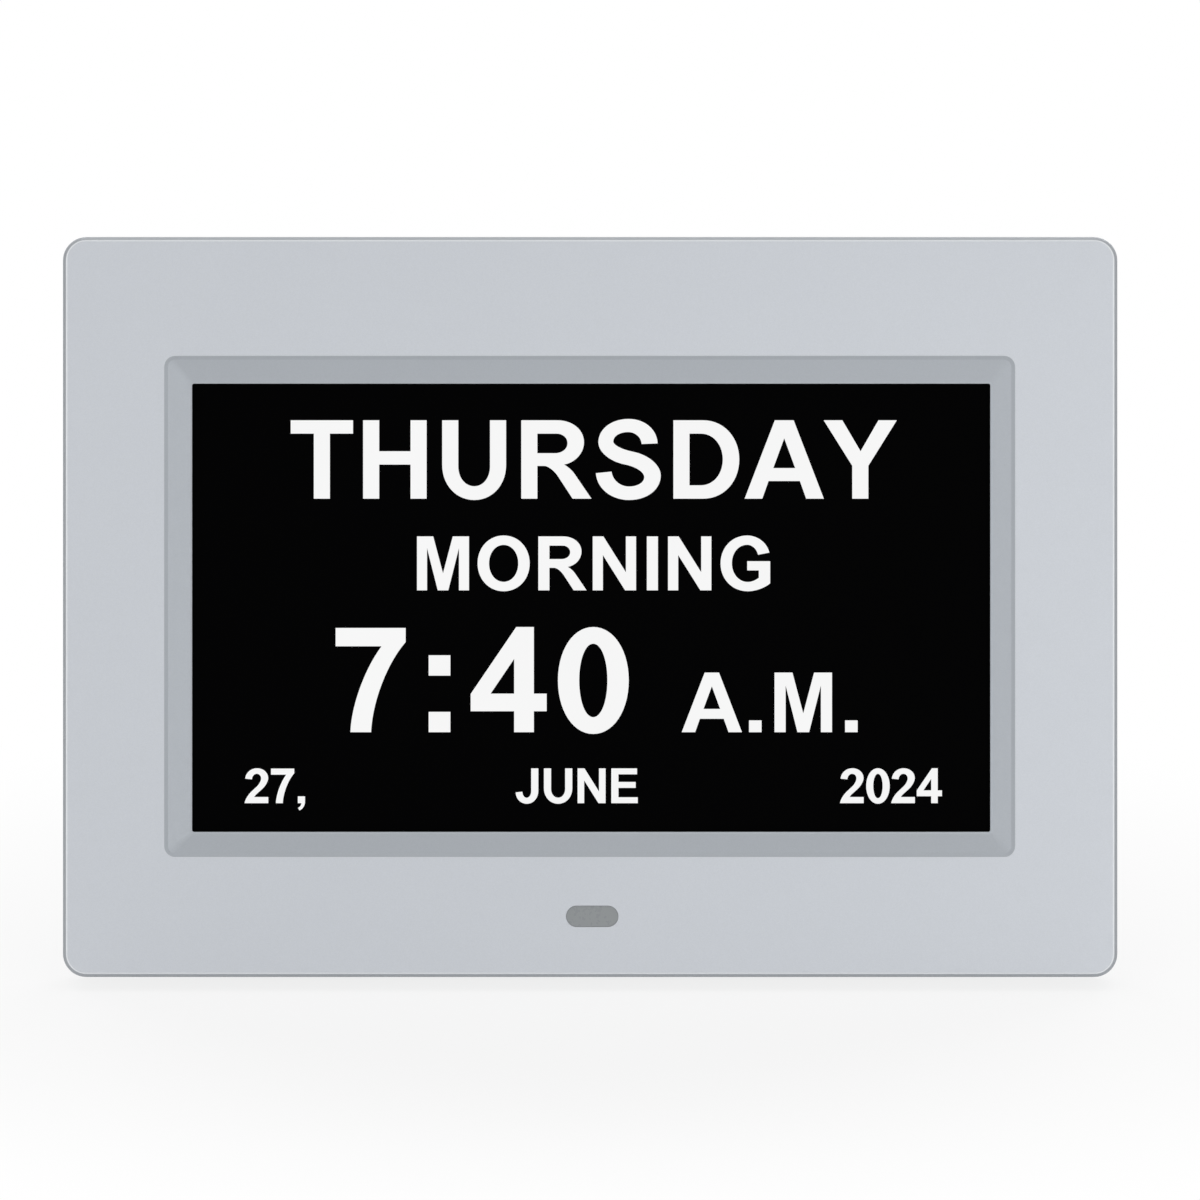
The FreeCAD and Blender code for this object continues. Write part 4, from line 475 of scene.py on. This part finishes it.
# ------------------------------------------------------------------ letters of the reading
# Bold plain capitals and figures, a hundred units tall: each one's width with its spacing, and its
# outlines. A pair is a corner that a straight line runs to; four numbers are the corner that a
# round edge bows to, and its end.
GLYPHS = {
    "A": (100.9, [
        [(0, 0), (38.5, 100), (62.5, 100), (101, 0), (78.5, 0), (70.5, 22.5), (30.5, 22.5), (22.5, 0)],
        [(50.5, 77), (36.5, 39), (64.5, 39)],
    ]),
    "D": (100.9, [
        [(10, 0), (10, 100), (48, 100), (94, 100, 94, 50), (94, 0, 48, 0)],
        [(30.5, 17), (30.5, 83), (45, 83), (73, 83, 73, 50), (73, 17, 45, 17)],
    ]),
    "E": (93.2, [
        [(10, 0), (10, 100), (84, 100), (84, 83), (30.5, 83), (30.5, 61), (80, 61), (80, 44),
         (30.5, 44), (30.5, 17), (86, 17), (86, 0)],
    ]),
    "G": (108.7, [
        [(97, 70), (90, 101.7, 56, 101.7), (6.5, 101.7, 6.5, 50), (6.5, -1.7, 57, -1.7),
         (82, -1.7, 98.5, 13), (98.5, 54), (56, 54), (56, 37), (77.5, 37), (77.5, 23.5),
         (69, 15.5, 57, 15.5), (27.5, 15.5, 27.5, 50.5), (27.5, 84.5, 56, 84.5), (72, 84.5, 76, 66)],
    ]),
    "H": (100.9, [
        [(10, 0), (10, 100), (30.5, 100), (30.5, 60.5), (70.5, 60.5), (70.5, 100), (91, 100),
         (91, 0), (70.5, 0), (70.5, 43.5), (30.5, 43.5), (30.5, 0)],
    ]),
    "I": (38.8, [[(9.5, 0), (9.5, 100), (30, 100), (30, 0)]]),
    "J": (77.7, [
        [(47, 100), (67.5, 100), (67.5, 36), (67.5, -1.7, 34.5, -1.7), (3.5, -1.7, 2.5, 31),
         (21.5, 33), (22.5, 15.5, 34, 15.5), (47, 15.5, 47, 35)],
    ]),
    "M": (116.4, [
        [(10, 0), (10, 100), (40, 100), (58.2, 31.5), (76.4, 100), (106.4, 100), (106.4, 0),
         (87.8, 0), (87.8, 78.5), (68, 0), (48.5, 0), (28.6, 78.5), (28.6, 0)],
    ]),
    "N": (100.9, [
        [(10, 0), (10, 100), (29.7, 100), (71.5, 33.5), (71.5, 100), (90.3, 100), (90.3, 0),
         (70, 0), (28.8, 65.5), (28.8, 0)],
    ]),
    "O": (108.7, [
        [(54.3, 101.7), (102.6, 101.7, 102.6, 50), (102.6, -1.7, 54.3, -1.7), (6, -1.7, 6, 50),
         (6, 101.7, 54.3, 101.7)],
        [(54.3, 84.3), (81.4, 84.3, 81.4, 50), (81.4, 15.7, 54.3, 15.7), (27.2, 15.7, 27.2, 50),
         (27.2, 84.3, 54.3, 84.3)],
    ]),
    "R": (100.9, [
        [(10, 0), (10, 100), (56, 100), (90, 100, 90, 72), (90, 48, 64.5, 43.5), (73, 39, 78, 31.5),
         (99.5, 0), (75.5, 0), (58.5, 26), (49, 41.8, 39, 41.8), (30.5, 41.8), (30.5, 0)],
        [(30.5, 58), (30.5, 83), (55, 83), (69, 83, 69, 70.7), (69, 58, 53, 58)],
    ]),
    "S": (93.2, [
        [(83, 70.5), (82, 101.7, 46.3, 101.7), (7.5, 101.7, 7.5, 72), (7.5, 50, 42, 43.5),
         (66, 38.5, 66, 27.5), (66, 15.5, 46.5, 15.5), (26.5, 15.5, 24.3, 34.5), (4.3, 32.5),
         (6.5, -1.7, 46.7, -1.7), (87, -1.7, 87, 29.5), (87, 53, 51, 60), (26.5, 65, 26.5, 73),
         (26.5, 85, 45.5, 85), (61.5, 85, 62.7, 69.7)],
    ]),
    "T": (85.4, [
        [(3, 83), (3, 100), (82.5, 100), (82.5, 83), (53, 83), (53, 0), (32.5, 0), (32.5, 83)],
    ]),
    "U": (100.9, [
        [(10, 100), (30.5, 100), (30.5, 41), (30.5, 15.8, 51, 15.8), (71, 15.8, 71, 41), (71, 100),
         (91.5, 100), (91.5, 43), (91.5, -1.7, 51, -1.7), (10, -1.7, 10, 43)],
    ]),
    "Y": (93.2, [
        [(36.4, 0), (36.4, 42), (0, 100), (23.7, 100), (47, 60.5), (69.8, 100), (93.2, 100),
         (56.9, 42), (56.9, 0)],
    ]),
    "0": (77.7, [
        [(38.7, 100.4), (72.6, 100.4, 72.6, 49.5), (72.6, -1.7, 38.7, -1.7), (5, -1.7, 5, 49.5),
         (5, 100.4, 38.7, 100.4)],
        [(38.7, 84.5), (52.2, 84.5, 52.2, 49.5), (52.2, 14.3, 38.7, 14.3), (25.3, 14.3, 25.3, 49.5),
         (25.3, 84.5, 38.7, 84.5)],
    ]),
    "2": (77.7, [
        [(71.3, 17.7), (71.3, 0), (3.2, 0), (5.5, 17, 22.5, 33), (38, 47.5), (50.6, 59.5, 50.6, 71),
         (50.6, 84.5, 38.2, 84.5), (25.6, 84.5, 24.4, 68.5), (5, 70.5), (7.5, 100.4, 39, 100.4),
         (71, 100.4, 71, 72), (71, 56, 53, 40), (38.5, 27), (33.5, 22.5, 31, 17.7)],
    ]),
    "4": (77.7, [
        [(44.5, 0), (44.5, 20), (3, 20), (3, 36.5), (46.5, 100.4), (63.3, 100.4), (63.3, 36.8),
         (75.5, 36.8), (75.5, 20), (63.3, 20), (63.3, 0)],
        [(44.5, 36.8), (44.5, 70), (22, 36.8)],
    ]),
    "7": (77.7, [
        [(5.5, 82), (5.5, 99.5), (72.3, 99.5), (72.3, 86), (41.5, 51, 39.3, 0), (19.6, 0),
         (21, 44, 49.3, 82)],
    ]),
    ":": (46.5, [
        [(13, 0), (13, 19.4), (33.7, 19.4), (33.7, 0)],
        [(13, 54), (13, 73.4), (33.7, 73.4), (33.7, 54)],
    ]),
    ".": (38.8, [[(9, 0), (9, 19.8), (30, 19.8), (30, 0)]]),
    ",": (38.8, [
        [(9, 0), (9, 19.6), (29.6, 19.6), (29.6, 4), (29.6, -15.5, 13.5, -20.8), (9.3, -13.6),
         (18.8, -9.5, 19.2, 0)],
    ]),
}
CAP_UNITS = 100
BOW = 0.57
BOW_STEPS = 14
SAME_POINT = 0.01


def run_outline(steps):
    """Points of one closed outline given as corners and bows."""
    points = []
    for step in steps:
        if len(step) == 2:
            points.append(Vector(step))
            continue
        corner, end = Vector(step[:2]), Vector(step[2:])
        start = points[-1]
        first = start + (corner - start) * BOW
        last = end + (corner - end) * BOW
        for i in range(1, BOW_STEPS + 1):
            t = i / BOW_STEPS
            s = 1 - t
            points.append(start * s**3 + first * 3 * s * s * t + last * 3 * s * t * t + end * t**3)
    if (points[0] - points[-1]).length < SAME_POINT:
        points.pop()
    return points


def set_words(words, tracking):
    """Outlines of a line of words, and the left and right ends of its ink."""
    pen, outlines = 0.0, []
    for letter in words:
        advance, parts = GLYPHS[letter]
        outlines += [[point + Vector((pen, 0)) for point in run_outline(part)] for part in parts]
        pen += advance + tracking
    across = [point.x for outline in outlines for point in outline]
    return outlines, min(across), max(across)


WELD = 1e-7


def flat_solid(name, outlines, thick, placing, material):
    """Thin solid cut from closed outlines; an outline inside another one is a hole."""
    curve = bpy.data.curves.new(name, "CURVE")
    curve.dimensions = "2D"
    curve.fill_mode = "BOTH"
    curve.extrude = thick / 2
    for outline in outlines:
        spline = curve.splines.new("POLY")
        spline.points.add(len(outline) - 1)
        for point, (across, up) in zip(spline.points, outline):
            point.co = (across, up, 0, 1)
        spline.use_cyclic_u = True
    pattern = bpy.data.objects.new(name + "_pattern", curve)
    bpy.context.scene.collection.objects.link(pattern)
    depsgraph = bpy.context.evaluated_depsgraph_get()
    mesh = bpy.data.meshes.new_from_object(pattern.evaluated_get(depsgraph))
    bpy.data.objects.remove(pattern)
    mesh.transform(ON_THE_TABLE @ placing)
    welded = bmesh.new()
    welded.from_mesh(mesh)
    bmesh.ops.remove_doubles(welded, verts=welded.verts, dist=WELD)
    bmesh.ops.recalc_face_normals(welded, faces=welded.faces)
    welded.to_mesh(mesh)
    welded.free()
    mesh.name = name
    mesh.materials.clear()
    mesh.materials.append(material)
    solid = bpy.data.objects.new(name, mesh)
    bpy.context.scene.collection.objects.link(solid)
    return solid


PIXEL_T = 0.02
FACING_FRONT = Matrix.Rotation(math.radians(90), 4, "X")
FACING_BACK = Matrix.Rotation(math.radians(180), 4, "Z") @ FACING_FRONT
LIT = lit_pixels()


def lit_words(name, words, cap, baseline, tracking=0.0, left=None, middle=None, right=None):
    """One line of the reading on the screen, placed by its left end, middle or right end."""
    outlines, first, last = set_words(words, tracking)
    size = cap / CAP_UNITS
    if left is not None:
        start = left - first * size
    elif right is not None:
        start = right - last * size
    else:
        start = middle - (first + last) / 2 * size
    scaled = [[point * size for point in outline] for outline in outlines]
    placing = Matrix.Translation((start, SCREEN_Y - PIXEL_T, baseline)) @ FACING_FRONT
    line = flat_solid(name, scaled, PIXEL_T, placing, LIT)
    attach(line, "clock_case")


lit_words("reading_weekday", "THURSDAY", 15.15, 92.39, middle=0.69)
lit_words("reading_part_of_day", "MORNING", 10.42, 74.67, middle=0.66)
lit_words("reading_time", "7:40", 20.25, 47.25, tracking=3.6, left=-49.2)
lit_words("reading_half_of_day", "A.M.", 11.52, 47.25, tracking=3.0, left=17.7)
lit_words("reading_day", "27,", 6.72, 33.53, tracking=-4.0, left=-66.8)
lit_words("reading_month", "JUNE", 6.72, 33.53, tracking=-4.0, middle=-2.6)
lit_words("reading_year", "2024", 6.72, 33.53, tracking=-4.0, right=68.0)


# ------------------------------------------------------------------ signs on the keys
PRINT = moulded("key_print", colour(214, 216, 218), 0.5, 0.0003, 0.000004, drift=0.05)
PRINT_T = 0.02
ARROW = [(-1.5, -1.0), (1.5, -1.0), (0.0, 1.4)]
BAR_END, BAR_T = 1.7, 0.5
BARS = [
    [(-BAR_END, low), (BAR_END, low), (BAR_END, low + BAR_T), (-BAR_END, low + BAR_T)]
    for low in (-1.3, -0.25, 0.8)
]


def turned_arrow(degrees):
    """Arrow head turned about its middle."""
    turn = Matrix.Rotation(math.radians(degrees), 2)
    return [[turn @ Vector(point) for point in ARROW]]


def ring_sign(radius, width):
    """Ring drawn with two outlines."""
    steps = 40
    angles = [2 * math.pi * i / steps for i in range(steps)]
    return [[(r * math.cos(a), r * math.sin(a)) for a in angles] for r in (radius, radius - width)]


SIGNS = [BARS, *[turned_arrow(degrees) for degrees in (90, 0, 180, -90)], ring_sign(1.6, 0.45)]
for number, sign in enumerate(SIGNS, start=1):
    key_x = KEY_PITCH * (number - (len(SIGNS) + 1) / 2)
    placing = Matrix.Translation((key_x, KEY_TOP_Y + PRINT_T, KEY_Z)) @ FACING_BACK
    mark = flat_solid(f"key_sign_{number}", sign, PRINT_T, placing, PRINT)
    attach(mark, f"key_{number}")


# ------------------------------------------------------------------ studio
def ray_seen_directly(tree):
    """One for rays from the camera, in reflections and through glass."""
    path = put(tree, "ShaderNodeLightPath").outputs
    seen = reckon(tree, "MAXIMUM", path["Is Camera Ray"], path["Is Glossy Ray"])
    return reckon(tree, "MAXIMUM", seen, path["Is Transmission Ray"])


def white_world(strength):
    """World that lights the clock softly and is seen as plain white."""
    world = bpy.data.worlds.new("white_world")
    world.use_nodes = True
    tree = world.node_tree
    tree.nodes.clear()
    ambient = put(tree, "ShaderNodeBackground", {"Color": (1, 1, 1, 1), "Strength": strength})
    backdrop = put(tree, "ShaderNodeBackground", {"Color": (1, 1, 1, 1), "Strength": 1.0})
    mixed = put(tree, "ShaderNodeMixShader", {0: ray_seen_directly(tree)})
    tree.links.new(ambient.outputs[0], mixed.inputs[1])
    tree.links.new(backdrop.outputs[0], mixed.inputs[2])
    put(tree, "ShaderNodeOutputWorld", {"Surface": mixed.outputs[0]})
    bpy.context.scene.world = world


# The floor's radius and where it fades to white, in metres, and the share of white by the clock.
TABLE_R = 12.0
FADE_FROM, FADE_TO = 0.08, 0.22
NEAR_WHITE = 0.82


def table_top():
    """Wide pale floor that keeps the clock's shadow and fades to white away from it."""
    mesh = bpy.data.meshes.new("table_top")
    disc = bmesh.new()
    bmesh.ops.create_circle(disc, cap_ends=True, segments=96, radius=TABLE_R)
    disc.to_mesh(mesh)
    disc.free()
    material = bpy.data.materials.new("pale_table")
    material.use_nodes = True
    tree = material.node_tree
    tree.nodes.clear()
    pale = put(tree, "ShaderNodeBsdfDiffuse", {"Color": (0.86, 0.86, 0.86, 1)})
    glow = put(tree, "ShaderNodeEmission", {"Color": (1, 1, 1, 1), "Strength": 1.0})
    place = put(tree, "ShaderNodeTexCoord").outputs["Object"]
    away = put(tree, "ShaderNodeVectorMath", {0: place}, operation="LENGTH").outputs["Value"]
    fade = remap(tree, away, FADE_FROM, FADE_TO, NEAR_WHITE, 1.0)
    share = reckon(tree, "MULTIPLY", fade, ray_seen_directly(tree))
    mixed = put(tree, "ShaderNodeMixShader", {0: share})
    tree.links.new(pale.outputs[0], mixed.inputs[1])
    tree.links.new(glow.outputs[0], mixed.inputs[2])
    put(tree, "ShaderNodeOutputMaterial", {"Surface": mixed.outputs[0]})
    mesh.materials.append(material)
    floor = bpy.data.objects.new("table_top", mesh)
    bpy.context.scene.collection.objects.link(floor)


# Each lamp's bearing and height in degrees, its distance and size in metres, and its power in watts.
LAMPS = {
    "key_lamp": (20, 8, 0.9, 0.5, 1.97),
    "fill_lamp": (-24, 8, 1.5, 0.7, 3.9),
    "top_lamp": (0, 88, 1.5, 1.0, 5.0),
    "back_lamp_right": (152, 32, 1.5, 0.9, 7.2),
    "back_lamp_left": (-150, 28, 1.5, 0.9, 5.2),
}
AIM = Vector((0, 0, 0.07))
AMBIENT = 0.34


def soft_lamp(name, azimuth, elevation, distance, size, power):
    """Square soft lamp that faces the clock from the given bearing."""
    a, e = math.radians(azimuth), math.radians(elevation)
    towards = Vector((math.sin(a) * math.cos(e), -math.cos(a) * math.cos(e), math.sin(e)))
    light = bpy.data.lights.new(name, "AREA")
    light.shape = "SQUARE"
    light.size = size
    light.energy = power
    lamp = bpy.data.objects.new(name, light)
    lamp.location = AIM + towards * distance
    lamp.rotation_mode = "QUATERNION"
    lamp.rotation_quaternion = towards.to_track_quat("Z", "Y")
    lamp.visible_camera = False
    bpy.context.scene.collection.objects.link(lamp)


# The camera's place in the upright clock's frame, and the width that it takes in there.
CAMERA_AT = Vector((1.9, -1800.0, 72.8))
VIEW_W = 231.6


def studio_camera():
    """Camera square to the fascia."""
    data = bpy.data.cameras.new("studio_camera")
    data.lens = data.sensor_width * -CAMERA_AT.y / VIEW_W
    data.clip_start, data.clip_end = 0.05, 50.0
    camera = bpy.data.objects.new("studio_camera", data)
    camera.rotation_mode = "QUATERNION"
    camera.location = ON_THE_TABLE @ CAMERA_AT
    camera.rotation_quaternion = Matrix.Rotation(math.radians(90) - LEAN, 3, "X").to_quaternion()
    bpy.context.scene.collection.objects.link(camera)
    bpy.context.scene.camera = camera


white_world(AMBIENT)
table_top()
for lamp_name, setting in LAMPS.items():
    soft_lamp(lamp_name, *setting)
studio_camera()
bpy.context.scene.view_settings.view_transform = "Standard"
